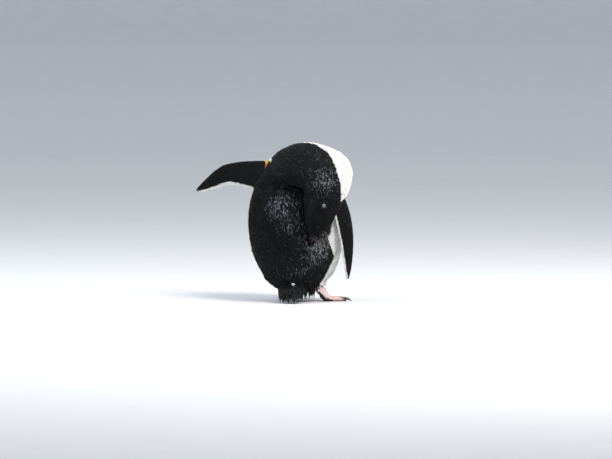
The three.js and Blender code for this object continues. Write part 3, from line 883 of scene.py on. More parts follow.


def limb_sizes(coat, rng):
    """Fits the size, turn and lift of the feathers of flippers, tail and legs."""
    places, normals, part = coat["places"], coat["normals"], coat["part"]
    length, width = coat["length"], coat["width"]
    for name in FLIPPERS:
        mine = is_part(part, name)
        if mine.any():
            tipward = soft_step(flipper_place(name, places[mine], normals[mine])[0] - 7.0, 1.5)
            length[mine], width[mine] = 5.2 + 5.5 * tipward, 2.4 + 0.8 * tipward
            coat["turn"][mine] *= 0.5 * (1 - tipward)
            coat["lift"][mine] *= 0.3
    tail, leg = is_part(part, "tail"), is_part(part, *LEGS)
    length[tail], width[tail] = TAIL_SIZE
    behind = soft_step(normals[:, 1] - 0.1, 0.5)
    length[leg] = (LEG_SIZE[0] + LEG_BEHIND * behind * rng.uniform(0.6, 1, len(part)))[leg]
    width[leg] = LEG_SIZE[1]


def feathered(places, seed):
    """Everything about the feathers that grow at these places, as a dictionary of arrays."""
    rng = np.random.default_rng(seed)
    places, normals, part = on_skin(places)
    station, angle, _ = body_place(places, part)
    count = len(places)
    depth = plumage_depth(places, part)
    on_body = is_part(part, *WINDOWS)
    parted, rough, tip_and_glint_near = (near_to(places, spots) * on_body for spots in (PARTED, ROUGH, TIP_AND_GLINT_SPOTS))
    clump = swell(places, CLUMP_SIZE, seed + 1)
    coat = {
        "places": places, "normals": normals, "part": part, "station": station, "angle": angle,
        "length": np.interp(station, *LENGTH) * rng.uniform(*LENGTH_CHANCE, count),
        "width": np.interp(station, *WIDTH) * rng.uniform(*WIDTH_CHANCE, count),
        "rise": depth * rng.uniform(*RISE_CHANCE, count),
        "turn": TURN_CLUMP * clump + rng.normal(0, TURN_CHANCE, count)
        + TURN_PARTED * parted * swell(places, PARTED_SIZE, 77),
    }
    hem = soft_step(HEM_SPAN[0] - station, 1.5) * soft_step(np.abs(angle) - HEM_SPAN[1], 30)
    coat["length"] *= 1 + HEM_LONGER * hem * is_part(part, "trunk")
    lift = LIFT_PARTED * parted + LIFT_ROUGH * rough * (rng.random(count) < ROUGH_ONES)
    lift = lift + LIFT_CLUMP * np.maximum(clump, 0) + LIFT_STRAY * (rng.random(count) < STRAY_ONES)
    coat["lift"] = np.clip(lift, 0, 1)
    limb_sizes(coat, rng)
    combed = lie_of(places, normals, part)
    lie = turned(combed, normals, coat.pop("turn"))
    pale = paleness(places + lie * (0.7 * coat["length"])[:, None], normals, part)
    sleek = pale * on_body
    coat["lie"] = unit(lie + COMBED * sleek[:, None] * combed)
    coat["width"] *= 1 + WIDER * sleek
    coat["rise"] += SLEEKER * sleek * (0.95 * depth - coat["rise"])
    pressed = near_to(places, PRESSED)
    coat["lift"] *= 1 - 0.9 * pale
    coat["lift"] *= 1 - pressed
    coat["rise"] *= 1 - 0.8 * pressed
    coat["length"] *= 1 - 0.3 * pressed
    coat["roll"] = (rng.normal(0, ROLL_CHANCE, count) + ROLL_CLUMP * clump) * (1 - 0.6 * pale)
    coat["parted"] = parted * (rng.random(count) < DOWNY_ONES) * rng.uniform(0.6, 1, count)
    coat["pale"] = pale
    coat["shade"] = np.clip(0.5 + 0.28 * clump + rng.normal(0, 0.16, count), 0, 1)
    # Painted highlight: the light grey tips stand for bluish-grey tips and for glints of light on wet
    # plumage.
    glint_tipped = rng.random(count) < TIP_GLINT_LEAST + TIP_GLINT_MORE * tip_and_glint_near
    coat["frost"] = np.where(glint_tipped, rng.uniform(0.35, 1, count), 0.05) * np.clip(0.2 + tip_and_glint_near, 0, 1)
    return coat


def chosen(coat, keep):
    return {key: value[keep] for key, value in coat.items()}


def clear_of_legs(coat):
    """Trims the feathers that would hang over a leg's bare outer side, and drops those under the bead."""
    covers = np.linalg.norm(coat["places"] - BEAD, axis=1) < UNDER_BEAD
    for heel in HEELS.values():
        outward = coat["normals"][:, 0] * np.sign(heel[0]) > -0.2
        close = np.linalg.norm(coat["places"][:, :2] - heel, axis=1) < TARSUS_REACH
        room = (coat["places"][:, 2] - TARSUS_TOP) / np.maximum(-coat["lie"][:, 2], 0.3)
        trimmed = np.minimum(coat["length"], np.maximum(room, SHORTEST))
        coat["length"] = np.where(outward & close, trimmed, coat["length"])
        covers |= outward & on_bare_leg(coat["places"], coat["part"])
    return chosen(coat, ~covers)


coat = {name: clear_of_legs(feathered(places, 100 + i)) for i, (name, places) in enumerate(roots.items())}
print("feathers", {name: len(tract["places"]) for name, tract in coat.items()})

# %% [markdown]
# Round the eyes the head's feathers turn fine, and none grows over the lids, which get a velvet of their own.
# A feather is left out by where its tip ends too, or it would lie across the open eye.

# %% Clear the eyes
EYE_BARE, EYE_CLEAR = 8.3, 6.3                # mm from an eye's middle without roots, and from its axis, tips
EYE_FINE = 15                                 # mm round an eye in which feathers grow finer
for middle, outward, _, _ in EYES.values():
    head = coat["head"]
    fine = 1 - 0.45 * np.exp(-((head["places"] - middle)**2).sum(axis=1) / EYE_FINE**2)
    head["length"] *= fine
    head["width"] *= fine
    tips = head["places"] + head["lie"] * head["length"][:, None] * 0.8
    clear = np.linalg.norm(head["places"] - middle, axis=1) > EYE_BARE
    clear &= np.linalg.norm(np.cross(tips - middle, outward), axis=1) > EYE_CLEAR
    coat["head"] = chosen(head, clear)
print("feathers left on the head:", len(coat["head"]["places"]))

# %% [markdown]
# The baked map of a coat gives each feather a small patch of its own, at its root's place on the flattened
# skin. The skin is flattened the way a pelt is: body, neck and head by the station along the guide and the
# angle round it, and a flipper by its length and its breadth, upper side beside under side.

# %% Coat pieces
PATCH = 0.003                                 # a feather's breadth on the map, whose whole breadth is 1
RIDGE_SHARE = [0.25, 1.0, 0.25]               # how much of a grey tip with its painted glint, and of parted down, shows at a vane's edge, ridge and edge
LOWEST = 0.15                                 # mm above the floor
LAYING = ("places", "normals", "lie", "length", "width", "rise", "lift", "roll")    # what vanes() asks for


def pelt_place(coat):
    """Where each root lies on the flattened skin."""
    flat = np.column_stack([coat["angle"] / 360 + 0.5, coat["station"] / 21])
    for name in FLIPPERS:
        mine = is_part(coat["part"], name)
        if mine.any():
            station, _, above, _, from_trail = flipper_place(
                name, coat["places"][mine], coat["normals"][mine])
            flat[mine] = np.column_stack([from_trail / 170 + 0.5 * (above > 0), station / 9])
    for name in ("tail", *LEGS):
        mine = is_part(coat["part"], name)
        if mine.any():
            station, angle, _ = TAIL.locate(coat["places"][mine], 0, 4)
            flat[mine] = np.column_stack([angle / 360 + 0.5, station / 4])
    low, high = flat.min(axis=0), flat.max(axis=0)
    return 0.004 + (flat - low) / np.maximum(high - low, 1e-6) * 0.988


def coat_mesh(name, points, faces, along, flat, values):
    """An object with the feathers' values on its points and a patch for each feather in its OFBake map."""
    count, per, _ = points.shape
    points[..., 2] = np.maximum(points[..., 2], LOWEST)
    fraction = vane_fraction(along)
    mesh = triangle_mesh(name, points.reshape(-1, 3), faces)
    add_values(mesh, "along", np.tile(fraction, count))
    for key, value in values.items():
        add_values(mesh, key, value.ravel() if value.ndim == 2 else np.repeat(value, per))
    across = np.concatenate([np.tile([0.0, 0.5, 1.0], len(along) - 1), [0.5]])
    spot = np.stack([flat[:, :1] + across[None] * PATCH, flat[:, 1:] + fraction[None] * PATCH], axis=2)
    layer = mesh.uv_layers.new(name="OFBake")
    layer.data.foreach_set("uv", spot.reshape(-1, 2)[faces.ravel()].astype(np.float32).ravel())
    print(name, count, "feathers,", len(faces), "triangles")
    return new_object(name, mesh)


def coat_piece(name, coat, steps=SLEEK):
    points = vanes(*(coat[key] for key in LAYING), steps)
    ridge = np.concatenate([np.tile(RIDGE_SHARE, len(steps[0]) - 1), [1.0]])
    values = {"pale": coat["pale"], "shade": coat["shade"]}
    values.update({key: coat[key][:, None] * ridge for key in ("frost", "parted")})
    return coat_mesh(name, points, vane_faces(len(steps[0]), len(points)), steps[0], pelt_place(coat), values)


print("patches", PATCH, "across, ridge", RIDGE_SHARE)

# %% [markdown]
# Each tract becomes one piece of the coat, except the trunk's, which is too big for one: it is shared out by
# the angle from the throat into belly, flanks and back. All of them wear the same material later.

# %% The coat, piece by piece
BELLY_TO, FLANK_TO = 75, 128                  # degrees from the throat
trunk_coat = chosen(coat["body"], is_part(coat["body"]["part"], "trunk"))
turn_from_throat = np.abs(trunk_coat["angle"])
pieces = {
    "coat_belly": chosen(trunk_coat, turn_from_throat < BELLY_TO),
    "coat_flanks": chosen(trunk_coat, (turn_from_throat >= BELLY_TO) & (turn_from_throat < FLANK_TO)),
    "coat_back": chosen(trunk_coat, turn_from_throat >= FLANK_TO),
    "coat_neck_lower": chosen(coat["body"], ~is_part(coat["body"]["part"], "trunk")),
    "coat_nape": coat["nape"],
    "coat_head": coat["head"],
    "coat_flipper_left": chosen(coat["flippers"], is_part(coat["flippers"]["part"], "flipper_left")),
    "coat_flipper_right": chosen(coat["flippers"], is_part(coat["flippers"]["part"], "flipper_right")),
    "coat_legs": chosen(coat["tail"], ~is_part(coat["tail"]["part"], "tail")),
}
coats = [coat_piece(name, piece) for name, piece in pieces.items()]

# %% [markdown]
# The tail of this species is a brush of stiff pointed quills, and a resting bird props itself on them, so
# their tips are worn and end near the floor. Such feathers stand free of the skin. They are made as blades
# from the middles of their rings, each with a side and a front, and one function does that for quills,
# coverts, fringe, lids and bill alike.

# %% Free-standing blades and the tail's quills
BLADE_RINGS = np.linspace(0, 1, 9)
BLADE_SHAPE = np.array([0.7, 0.9, 1, 1, 0.96, 0.88, 0.7, 0.38, 0])
BLADE_LOWEST = 0.3                            # mm above the floor
QUILL_LAYERS = [(2.8, 0.85, 12), (1.0, 0.97, 14), (-1.4, 0.9, 12)]    # mm to the front, spread, how many
QUILL_ROOT = 0.18                             # where on the tail's guide the quills begin
QUILL_WIDTH = (5, 8)
RING = BLADE_RINGS[None, :, None]


def blade_piece(name, middle, side, front, width, ridge, flat, rng):
    """Pointed blades; the first three arrays are blades x rings x 3."""
    count = len(middle)
    half = BLADE_SHAPE[None, :, None] * width[:, None, None] / 2
    rings = np.stack([middle - side * half, middle + front * ridge, middle + side * half], axis=2)
    points = np.concatenate([rings[:, :-1].reshape(count, -1, 3), middle[:, -1:]], axis=1)
    points[..., 2] = np.maximum(points[..., 2], BLADE_LOWEST)
    values = {"shade": rng.uniform(0, 0.6, count), "frost": rng.uniform(0.0, 0.04, count),
              "pale": np.zeros(count), "parted": np.zeros(count)}
    faces = vane_faces(len(BLADE_RINGS), count)
    return coat_mesh(name, points, faces, BLADE_RINGS, flat, values)


def along_blade(*rows):
    """The same direction at every ring of a blade, for each of those arrays."""
    return (np.repeat(directions[:, None], len(BLADE_RINGS), axis=1) for directions in rows)


def tail_quills(seed):
    rng = np.random.default_rng(seed)
    samples = len(TAIL.middle) - 1
    middles, sides, fronts, flat = [], [], [], []
    for layer, (arch, spread, quills) in enumerate(QUILL_LAYERS):
        for i in range(quills):
            across = (i + 0.5) / quills * 2 - 1 + rng.normal(0, 0.05)
            reach = 1 - 0.1 * abs(across)**2 - rng.uniform(0.02, 0.28)
            sample = np.clip((QUILL_ROOT + BLADE_RINGS * (reach - QUILL_ROOT)) * samples, 0, samples)
            low = sample.astype(int)
            high = np.minimum(low + 1, samples)
            part_way = (sample - low)[:, None]
            middle = TAIL.middle[low] * (1 - part_way) + TAIL.middle[high] * part_way
            half = np.interp(sample / STEPS, range(len(TAIL_HALF)), TAIL_HALF) - 4
            left, front = TAIL.left[low], TAIL.front[low]
            out = arch * np.minimum(1, 1.6 * BLADE_RINGS) - 5 * (1 - BLADE_RINGS)**3 + 1.5 * (1 - across**2)
            out = out + rng.normal(0, 0.7) * BLADE_RINGS
            drift = rng.normal(0, 1.6) * BLADE_RINGS**2
            middles.append(middle + left * (across * half * spread + drift)[:, None] + front * out[:, None])
            lean = 0.25 * across + rng.normal(0, 0.15)
            sides.append(left * math.cos(lean) - front * math.sin(lean))
            fronts.append(front * math.cos(lean) + left * math.sin(lean))
            flat.append([across / 2.3 + 0.5, 0.2 + 0.25 * layer])
    width = rng.uniform(*QUILL_WIDTH, len(middles))
    return blade_piece("tail_quills", np.array(middles), np.array(sides), np.array(fronts), width, 0.8,
                       np.array(flat), rng)


# %% [markdown]
# Softer feathers hang between the tail and the thighs, rooted on the rump's lower edge. Others root on the
# tail's short stump of flesh and lie along the quills, whose bases they hide. Both are cut to the room that
# is left above the floor, so none is pushed into it.

# %% Fringe and tail coverts
FRINGE, FRINGE_TURN = 170, (-215, -108)       # how many, and degrees round the body between which they grow
FRINGE_STATION, FRINGE_LENGTH = (0.9, 1.9), (30, 52)
RUMP_REACH = 70                               # mm from the guide, well outside the rump
COVERT_LENGTH, COVERT_LEAST = (18, 36), 8
SOFT_WIDTH, SOFT_RIDGE = (3, 4.6), 0.5


def rump_fringe(seed):
    rng = np.random.default_rng(seed)
    turn = np.radians(rng.uniform(*FRINGE_TURN, FRINGE))
    station = rng.uniform(*FRINGE_STATION, FRINGE)
    sample = (station * STEPS).astype(int)
    out = BODY.left[sample] * np.sin(turn)[:, None] + BODY.front[sample] * np.cos(turn)[:, None]
    roots, normals, _ = on_skin(BODY.middle[sample] + out * RUMP_REACH)
    length = np.minimum(rng.uniform(*FRINGE_LENGTH, FRINGE), roots[:, 2] - rng.uniform(6, 20, FRINGE))
    swing = level(np.array([[0.0, 0.0, -1.0]]) + rng.normal(0, 0.13, (FRINGE, 3)), normals)
    fall = unit(swing * 0.5 + np.array([0, 0, -1.0]))
    middle = roots[:, None] + normals[:, None] * (1.5 + 4 * RING * (1 - RING)) \
        + (swing[:, None] * (1 - RING) + fall[:, None] * RING) * RING * length[:, None, None]
    side, front = along_blade(unit(np.cross(normals, fall)), normals)
    flat = np.column_stack([turn / math.tau % 1, station / 21])
    width = rng.uniform(*SOFT_WIDTH, FRINGE)
    return blade_piece("rump_fringe", middle, side, front, width, SOFT_RIDGE, flat, rng)


def tail_coverts(seed):
    rng = np.random.default_rng(seed)
    stump = chosen(coat["tail"], is_part(coat["tail"]["part"], "tail"))
    count = len(stump["places"])
    near = TAIL.locate(stump["places"], 0, 4)[2]
    across = TAIL.left[near] * (rng.normal(0, 0.1, (count, 1)))
    way = unit(TAIL.along[near] + across + np.array([0, 0, -0.1]))
    room = (stump["places"][:, 2] - rng.uniform(5, 22, count)) / -way[:, 2]
    length = np.clip(np.minimum(rng.uniform(*COVERT_LENGTH, count), room), COVERT_LEAST, None)
    start = stump["places"] + stump["normals"] * 1.2
    lifted = TAIL.front[near][:, None] * (3.5 * RING * (1 - 0.6 * RING))
    middle = start[:, None] + way[:, None] * RING * length[:, None, None] + lifted
    side, front = along_blade(TAIL.left[near], TAIL.front[near])
    width = rng.uniform(*SOFT_WIDTH, count)
    return blade_piece("tail_coverts", middle, side, front, width, SOFT_RIDGE, pelt_place(stump), rng)


coats += [rump_fringe(32), tail_coverts(33), tail_quills(31)]

# %% [markdown]
# Lids carry feathers as short as velvet, from the skin round them up to their bare white edge. They lie back
# from the bill over the dome of the lids, and the outermost reach out over the head's own feathers, so that
# no round border shows.

# %% Feathers of the lids
LID_COAT, LID_COAT_TO, LID_COAT_RAGGED = 560, 11.5, 2.5     # how many, mm from the eye's axis, mm ragged
LID_EDGE_BARE = 0.7                           # mm round the white edge without feathers


def lid_feathers(name, seed):
    rng = np.random.default_rng(seed)
    middle, outward, forward, crown = EYES[name]
    turn = rng.uniform(0, math.tau, LID_COAT)
    edge = opening_edge(turn) + LID_WHITE + LID_EDGE_BARE
    reach = np.sqrt(rng.uniform(edge**2, (LID_COAT_TO - LID_COAT_RAGGED * rng.random(LID_COAT)**2)**2))
    outer = np.clip((reach - 5) / 4.5, 0, 1)
    length = ((2.4 + 3.8 * outer) * rng.uniform(0.85, 1.2, LID_COAT))[:, None, None]
    spoke = np.cos(turn)[:, None] * forward + np.sin(turn)[:, None] * crown
    way = -forward + 0.3 * spoke
    way += rng.normal(0, 0.12, way.shape)
    flat = (reach[:, None] * spoke)[:, None] + unit(way)[:, None] * (RING - 0.5) * length
    across = np.linalg.norm(flat, axis=2, keepdims=True)
    dome = np.sqrt(np.maximum(LID_RADIUS**2 - across**2, 1.2))
    dome = np.maximum(dome, np.minimum(4.7 + 0.2 * across, 6.3))
    middles = middle + flat + outward * (dome + 0.15 + (0.7 + 0.5 * outer[:, None, None]) * RING)
    normals = unit(flat + outward * dome)
    sides = unit(np.cross(normals, np.broadcast_to(way[:, None], normals.shape)))
    place = np.column_stack([turn / math.tau, 0.2 + reach / 20])
    width = rng.uniform(0.95, 1.25, LID_COAT) * (1 + 0.7 * outer)
    return blade_piece("coat_lids_" + name, middles, sides, normals, width, 0.3, place, rng)


coats += [lid_feathers(name, 40 + i) for i, name in enumerate(EYES)]

# %% [markdown]
# This species is known by its bill: short feathers cover the first third of it, which makes it look stubby.
# Their roots are scattered over the bill's own solid, each face by its area, and only those near its base
# are kept.

# %% Feathers of the bill
BILL_COAT, BILL_COAT_TO, BILL_COAT_RAGGED = 220, 11.0, 2.5  # how many, mm along the bill, mm ragged
BILL_TRIES = 6                                # places tried for each feather, as most fall beyond its reach
BILL_AHEAD = 40                               # mm beyond the body's guide, past the bill's tip


def bill_feathers(name, seed):
    rng = np.random.default_rng(seed)
    mesh = NODES[name].data
    points, faces = points_of(mesh), triangles_of(mesh)
    corners = points[faces]
    normal = np.cross(corners[:, 1] - corners[:, 0], corners[:, 2] - corners[:, 0])
    area = np.linalg.norm(normal, axis=1)
    pick = rng.choice(len(faces), BILL_COAT * BILL_TRIES, p=area / area.sum())
    share = rng.dirichlet((1, 1, 1), len(pick))
    start = (corners[pick] * share[:, :, None]).sum(axis=1)
    root, ahead = BODY.middle[-1], BODY.middle[-1] + BODY.along[-1] * BILL_AHEAD
    back = -unit(points[np.linalg.norm(points - ahead, axis=1).argmin()] - root)
    out = -(start - root) @ back
    keep = np.flatnonzero(out < BILL_COAT_TO - BILL_COAT_RAGGED * rng.random(len(pick)))[:BILL_COAT]
    start, normals = start[keep], unit(normal)[pick][keep]
    way = level(back + rng.normal(0, 0.1, (len(keep), 3)), normals)
    length = rng.uniform(3, 4.6, len(keep))[:, None, None]
    middles = start[:, None] + way[:, None] * (RING - 0.4) * length + normals[:, None] * (0.1 + 0.8 * RING)
    sides, fronts = along_blade(np.cross(normals, way), normals)
    place = np.column_stack([rng.random(len(keep)), np.clip(0.9 + out[keep] / 200, 0, 0.98)])
    width = rng.uniform(1.1, 1.5, len(keep))
    return blade_piece("coat_" + name, middles, sides, fronts, width, 0.15, place, rng)


BILL = ("bill_upper", "bill_lower")
coats += [bill_feathers(name, 45 + i) for i, name in enumerate(BILL)]
print("coat in all", sum(len(thing.data.polygons) for thing in coats), "triangles")

# %% [markdown]
# Two wisps of loose white down have caught in the plumage while the bird preened: a round one on the root of
# the tail and a stroke of one on the shoulder. Each is a spray of hair-thin barbs made by the same function.

# %% Loose down
WISPS = [((-32, 69, 45), (-31, 69.5, 46.5), 3.2), ((48.5, 51, 369), (35, 64, 365), 1.6)]  # ends, mm of spread
BARBS = 80
LOOSE = (STEPS_ALONG, np.array([0.5, 1.0, 0.8, 0]), np.array([0.96, 1.0, 1.0, 0.98]))


def wisp(number, start, end, spread):
    """Barbs along a line, lying loosely on the tops of the feathers."""
    rng = np.random.default_rng(60 + number)
    start, end = np.array(start, float), np.array(end, float)
    places = start + (end - start) * rng.random((BARBS, 1)) + rng.normal(0, spread / 3, (BARBS, 3))
    places, normals, part = on_skin(places)
    station, angle, _ = body_place(places, part)
    depth = plumage_depth(places, part)
    lie = level(unit(end - start) + rng.normal(0, 0.7, (BARBS, 3)), normals)
    return {
        "places": places, "normals": normals, "part": part, "station": station, "angle": angle, "lie": lie,
        "length": rng.uniform(3.5, 6, BARBS), "width": rng.uniform(0.8, 1.3, BARBS),
        "rise": 1.15 * depth + rng.uniform(1.2, 3.6, BARBS), "lift": np.zeros(BARBS),
        "roll": rng.normal(0, 0.5, BARBS), "parted": np.zeros(BARBS), "pale": np.ones(BARBS),
        "shade": np.ones(BARBS), "frost": np.zeros(BARBS),
    }


coats += [coat_piece(f"down_wisp_{i}", wisp(i, *place), LOOSE) for i, place in enumerate(WISPS)]

# %% [markdown]
# Eyeballs, bill and claws are hard, smooth and few. Each keeps its solid's place: a welded copy is subdivided
# so that its facets round off, and stands for the solid.

# %% Eyes, bill and claws
ROUNDING = {"levels": 2, "render_levels": 2}
CLAWS = [name for name in NODES if name.startswith("claw_")]


def smooth_copy(solid):
    """A welded, subdivided copy of a solid, which stands for it."""
    thing = new_object("rounded_" + solid, welded([solid]))
    thing.data = finished(thing, ("SUBSURF", ROUNDING))
    thing.data.name = thing.name
    thing.data.polygons.foreach_set("use_smooth", np.ones(len(thing.data.polygons), bool))
    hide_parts(solid)
    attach(thing, "root")
    return thing


eyes = {name: smooth_copy(name) for name in EYES}
for name, thing in eyes.items():
    middle, outward, _, _ = EYES[name]
    add_values(thing.data, "iris", unit(points_of(thing.data) - middle) @ outward)
bills = [smooth_copy(name) for name in BILL]
claws = [smooth_copy(name) for name in CLAWS]
print("eyes", len(eyes), "bill", len(bills), "claws", len(claws))

# %% [markdown]
# Every finish below starts from the same shader, with a few constants of its own. Noise is measured in
# millimetres on the piece itself, so its lumps keep their size wherever the bird stands.

# %% Start of every material
COLOURS = {"data_type": "RGBA"}               # a mix of colours: factor i0, colours i6 and i7, output 2
MULTIPLY = {"operation": "MULTIPLY"}
NOISE_DETAIL = 3.0


def lumps(size_mm):
    """The scale of a noise whose lumps are about that many mm across."""
    return 1000 / size_mm / 2


def material(name, **settings):
    """A new material, its tree, its shader's inputs, and the place on the piece."""
    made = bpy.data.materials.new(name)
    made.use_nodes = True
    shader = made.node_tree.nodes["Principled BSDF"].inputs
    for key, value in settings.items():
        shader[key.replace("_", " ")].default_value = value
    return made, made.node_tree, shader, node(made.node_tree, "ShaderNodeTexCoord", "Object")


print("a noise with lumps of 10 mm has a scale of", lumps(10))

# %% [markdown]
# Feathers are keratin: a horn-like vane of fine barbs, matt where the barbs stand open and faintly glossy
# where they lie closed. The black ones are tipped with a light grey that is partly their own bluish-grey tips
# and partly painted glints of light on wet plumage, which make the back look dusted, and at their root all of
# them are white down. New black feathers are nearly jet, and worn ones go brown. Barbs are finer than a
# render shows, so their grain is drawn at 1.2 mm.

# %% Keratin feathers
def feather_material():
    """Barbed keratin: sheds water and throws back little light, so black looks deep and white looks soft."""
    made, tree, shader, place = material(
        "feather_keratin", Roughness=0.48, IOR=1.54, Specular_IOR_Level=0.12)
    along, shade, frost, pale, parted = [
        node(tree, "ShaderNodeAttribute", "Fac", {"attribute_name": name})
        for name in ("along", "shade", "frost", "pale", "parted")]
    wear, stain, barbs = [
        node(tree, "ShaderNodeTexNoise", "Fac", Vector=place, Scale=lumps(size), Detail=NOISE_DETAIL)
        for size in (30, 45, 1.2)]
    black = node(tree, "ShaderNodeMix", 2, COLOURS, i0=shade, i6="#030304", i7="#0d0e11")
    worn = node(tree, "ShaderNodeMapRange", i0=wear, i1=0.5, i2=0.75, i3=0.0, i4=0.4)
    black = node(tree, "ShaderNodeMix", 2, COLOURS, i0=worn, i6=black, i7="#0e0c0b")
    # Painted highlight: the outer half of a tipped feather turns light grey, for its bluish-grey tip and for
    # a glint of light on wet plumage.
    tip = node(tree, "ShaderNodeMapRange", i0=along, i1=0.45, i2=0.75, i3=0.0, i4=1.0)
    glint_tipped = node(tree, "ShaderNodeMath", 0, MULTIPLY, i0=tip, i1=frost)
    black = node(tree, "ShaderNodeMix", 2, COLOURS, i0=glint_tipped, i6=black, i7="#b4bbc4")
    white = node(tree, "ShaderNodeMix", 2, COLOURS, i0=shade, i6="#e0e0de", i7="#fbfbf9")
    stained = node(tree, "ShaderNodeMapRange", i0=stain, i1=0.6, i2=0.85, i3=0.0, i4=0.25)
    white = node(tree, "ShaderNodeMix", 2, COLOURS, i0=stained, i6=white, i7="#d8cfbd")
    colour = node(tree, "ShaderNodeMix", 2, COLOURS, i0=pale, i6=black, i7=white)
    base = node(tree, "ShaderNodeMapRange", i0=along, i1=0.9, i2=0.55, i3=0.0, i4=1.0)
    opened = node(tree, "ShaderNodeMapRange", i0=parted, i1=0.12, i2=0.6, i3=0.0, i4=1.0)
    down = node(tree, "ShaderNodeMath", 0, MULTIPLY, i0=base, i1=opened)
    colour = node(tree, "ShaderNodeMix", 2, COLOURS, i0=down, i6=colour, i7="#e2e4e5")
    relief = node(tree, "ShaderNodeBump", Height=barbs, Distance=0.25 / 1000, Strength=0.6)
    tree.links.new(colour, shader["Base Color"])
    tree.links.new(relief, shader["Normal"])
    return made


feathers = feather_material()
for thing in coats:
    thing.data.materials.append(feathers)
    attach(thing, "root")
print("pieces of plumage:", len(coats))

# %% [markdown]
# Skin comes in three kinds on one mesh. Under feathers it is thin and matt, and dark or light as the plumage
# over it. On the feet it is fleshy and pink, cut by fine creases into scutes 2 to 3 mm across, with a horny
# black sole. The lids' edge is bare white skin, painted a mid grey for the shade that it lies in.

# %% Skin under feathers, on the feet and on the lids
SCUTE = 2.38                                  # mm from crease to crease


def skin_material():
    """Thin dry skin with the bumps of the feather roots: matt, so that it never shines between feathers."""
    made, tree, shader, place = material("skin_under_feathers", Roughness=0.8, IOR=1.45)
    blotch, roots = [
        node(tree, "ShaderNodeTexNoise", "Fac", Vector=place, Scale=lumps(size), Detail=NOISE_DETAIL)
        for size in (8, 2.5)]
    pale = node(tree, "ShaderNodeAttribute", "Fac", {"attribute_name": "pale"})
    colour = node(tree, "ShaderNodeMix", 2, COLOURS, i0=pale, i6="#08080a", i7="#cfccc6")
    darker = node(tree, "ShaderNodeMapRange", i0=blotch, i1=0.4, i2=0.7, i3=0.0, i4=0.3)
    colour = node(tree, "ShaderNodeMix", 2, COLOURS, i0=darker, i6=colour, i7="#1c1c1e")
    relief = node(tree, "ShaderNodeBump", Height=roots, Distance=0.8 / 1000, Strength=1.0)
    tree.links.new(colour, shader["Base Color"])
    tree.links.new(relief, shader["Normal"])
    return made


def foot_material():
    """Fleshy skin full of blood, which lets a little light in and gleams along its scutes."""
    made, tree, shader, place = material("foot_skin", Roughness=0.5, IOR=1.42, Subsurface_Weight=0.08)
    crease = node(tree, "ShaderNodeTexVoronoi", "Distance", {"feature": "DISTANCE_TO_EDGE"}, Vector=place,
                  Scale=1000 / SCUTE, Randomness=0.8)
    warmth, blotch = [
        node(tree, "ShaderNodeTexNoise", "Fac", Vector=place, Scale=lumps(size), Detail=NOISE_DETAIL)
        for size in (14, 6)]
    flesh = node(tree, "ShaderNodeMix", 2, COLOURS, i0=warmth, i6="#efc9c6", i7="#f7dcd8")
    in_crease = node(tree, "ShaderNodeMapRange", i0=crease, i1=0.0, i2=0.14, i3=0.4, i4=0.0)
    flesh = node(tree, "ShaderNodeMix", 2, COLOURS, i0=in_crease, i6=flesh, i7="#cd9c97")
    flushed = node(tree, "ShaderNodeMapRange", i0=blotch, i1=0.62, i2=0.78, i3=0.0, i4=0.35)
    flesh = node(tree, "ShaderNodeMix", 2, COLOURS, i0=flushed, i6=flesh, i7="#bf8984")
    sole = node(tree, "ShaderNodeAttribute", "Fac", {"attribute_name": "sole"})
    colour = node(tree, "ShaderNodeMix", 2, COLOURS, i0=sole, i6=flesh, i7="#191616")
    height = node(tree, "ShaderNodeMapRange", i0=crease, i1=0.0, i2=0.3, i3=0.0, i4=1.0)
    relief = node(tree, "ShaderNodeBump", Height=height, Distance=0.35 / 1000, Strength=1.0)
    tree.links.new(colour, shader["Base Color"])
    tree.links.new(relief, shader["Normal"])
    return made


def lid_material():
    """Bare thickened skin, dry and finely wrinkled: a white ring painted mid grey for the shade it lies in,
    so never as bright as a white feather.
    """
    made, tree, shader, place = material("eyelid_skin", Roughness=0.55, IOR=1.42)
    tone, wrinkles = [
        node(tree, "ShaderNodeTexNoise", "Fac", Vector=place, Scale=lumps(size), Detail=NOISE_DETAIL)
        for size in (1.6, 0.8)]
    # Painted shade: the white edge is mixed from two mid greys, as a white ring looks in shade.
    white = node(tree, "ShaderNodeMix", 2, COLOURS, i0=tone, i6="#6f7478", i7="#94989b")
    rim = node(tree, "ShaderNodeAttribute", "Fac", {"attribute_name": "rim"})
    colour = node(tree, "ShaderNodeMix", 2, COLOURS, i0=rim, i6="#0c0c0e", i7=white)
    relief = node(tree, "ShaderNodeBump", Height=wrinkles, Distance=0.2 / 1000, Strength=1.0)
    tree.links.new(colour, shader["Base Color"])
    tree.links.new(relief, shader["Normal"])
    return made


for finish in (skin_material(), foot_material(), lid_material()):       # in the order of the kinds of skin
    skin.data.materials.append(finish)
skin.data.validate(clean_customdata=False)       # the union leaves a few faces double
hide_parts(*FEATHERED, *BARE)
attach(skin, "root")
print("skin faces kept:", len(skin.data.polygons))

# %% [markdown]
# An eye is wet: a clear film over a brown iris and a black pupil, so smooth that it mirrors the sky as one
# small bright spot. Bill and claws are horn, grown in streaks along their length and rubbed to a dull polish.

# %% Wet eye and horn
PUPIL_EDGE = (0.905, 0.93)                    # cosine of the angle from the eye's axis where the iris ends


def eye_material():
    """Iris under a film of tears: the film's own hard gloss is what makes the eye look alive."""
    made, tree, shader, _ = material(
        "wet_eye", Roughness=0.06, IOR=1.376, Coat_Weight=0.8, Coat_Roughness=0.02)
    iris = node(tree, "ShaderNodeAttribute", "Fac", {"attribute_name": "iris"})
    pupil = node(tree, "ShaderNodeMapRange", i0=iris, i1=PUPIL_EDGE[0], i2=PUPIL_EDGE[1], i3=0.0, i4=1.0)
    colour = node(tree, "ShaderNodeMix", 2, COLOURS, i0=pupil, i6="#3b1f12", i7="#050404")
    tree.links.new(colour, shader["Base Color"])
    return made


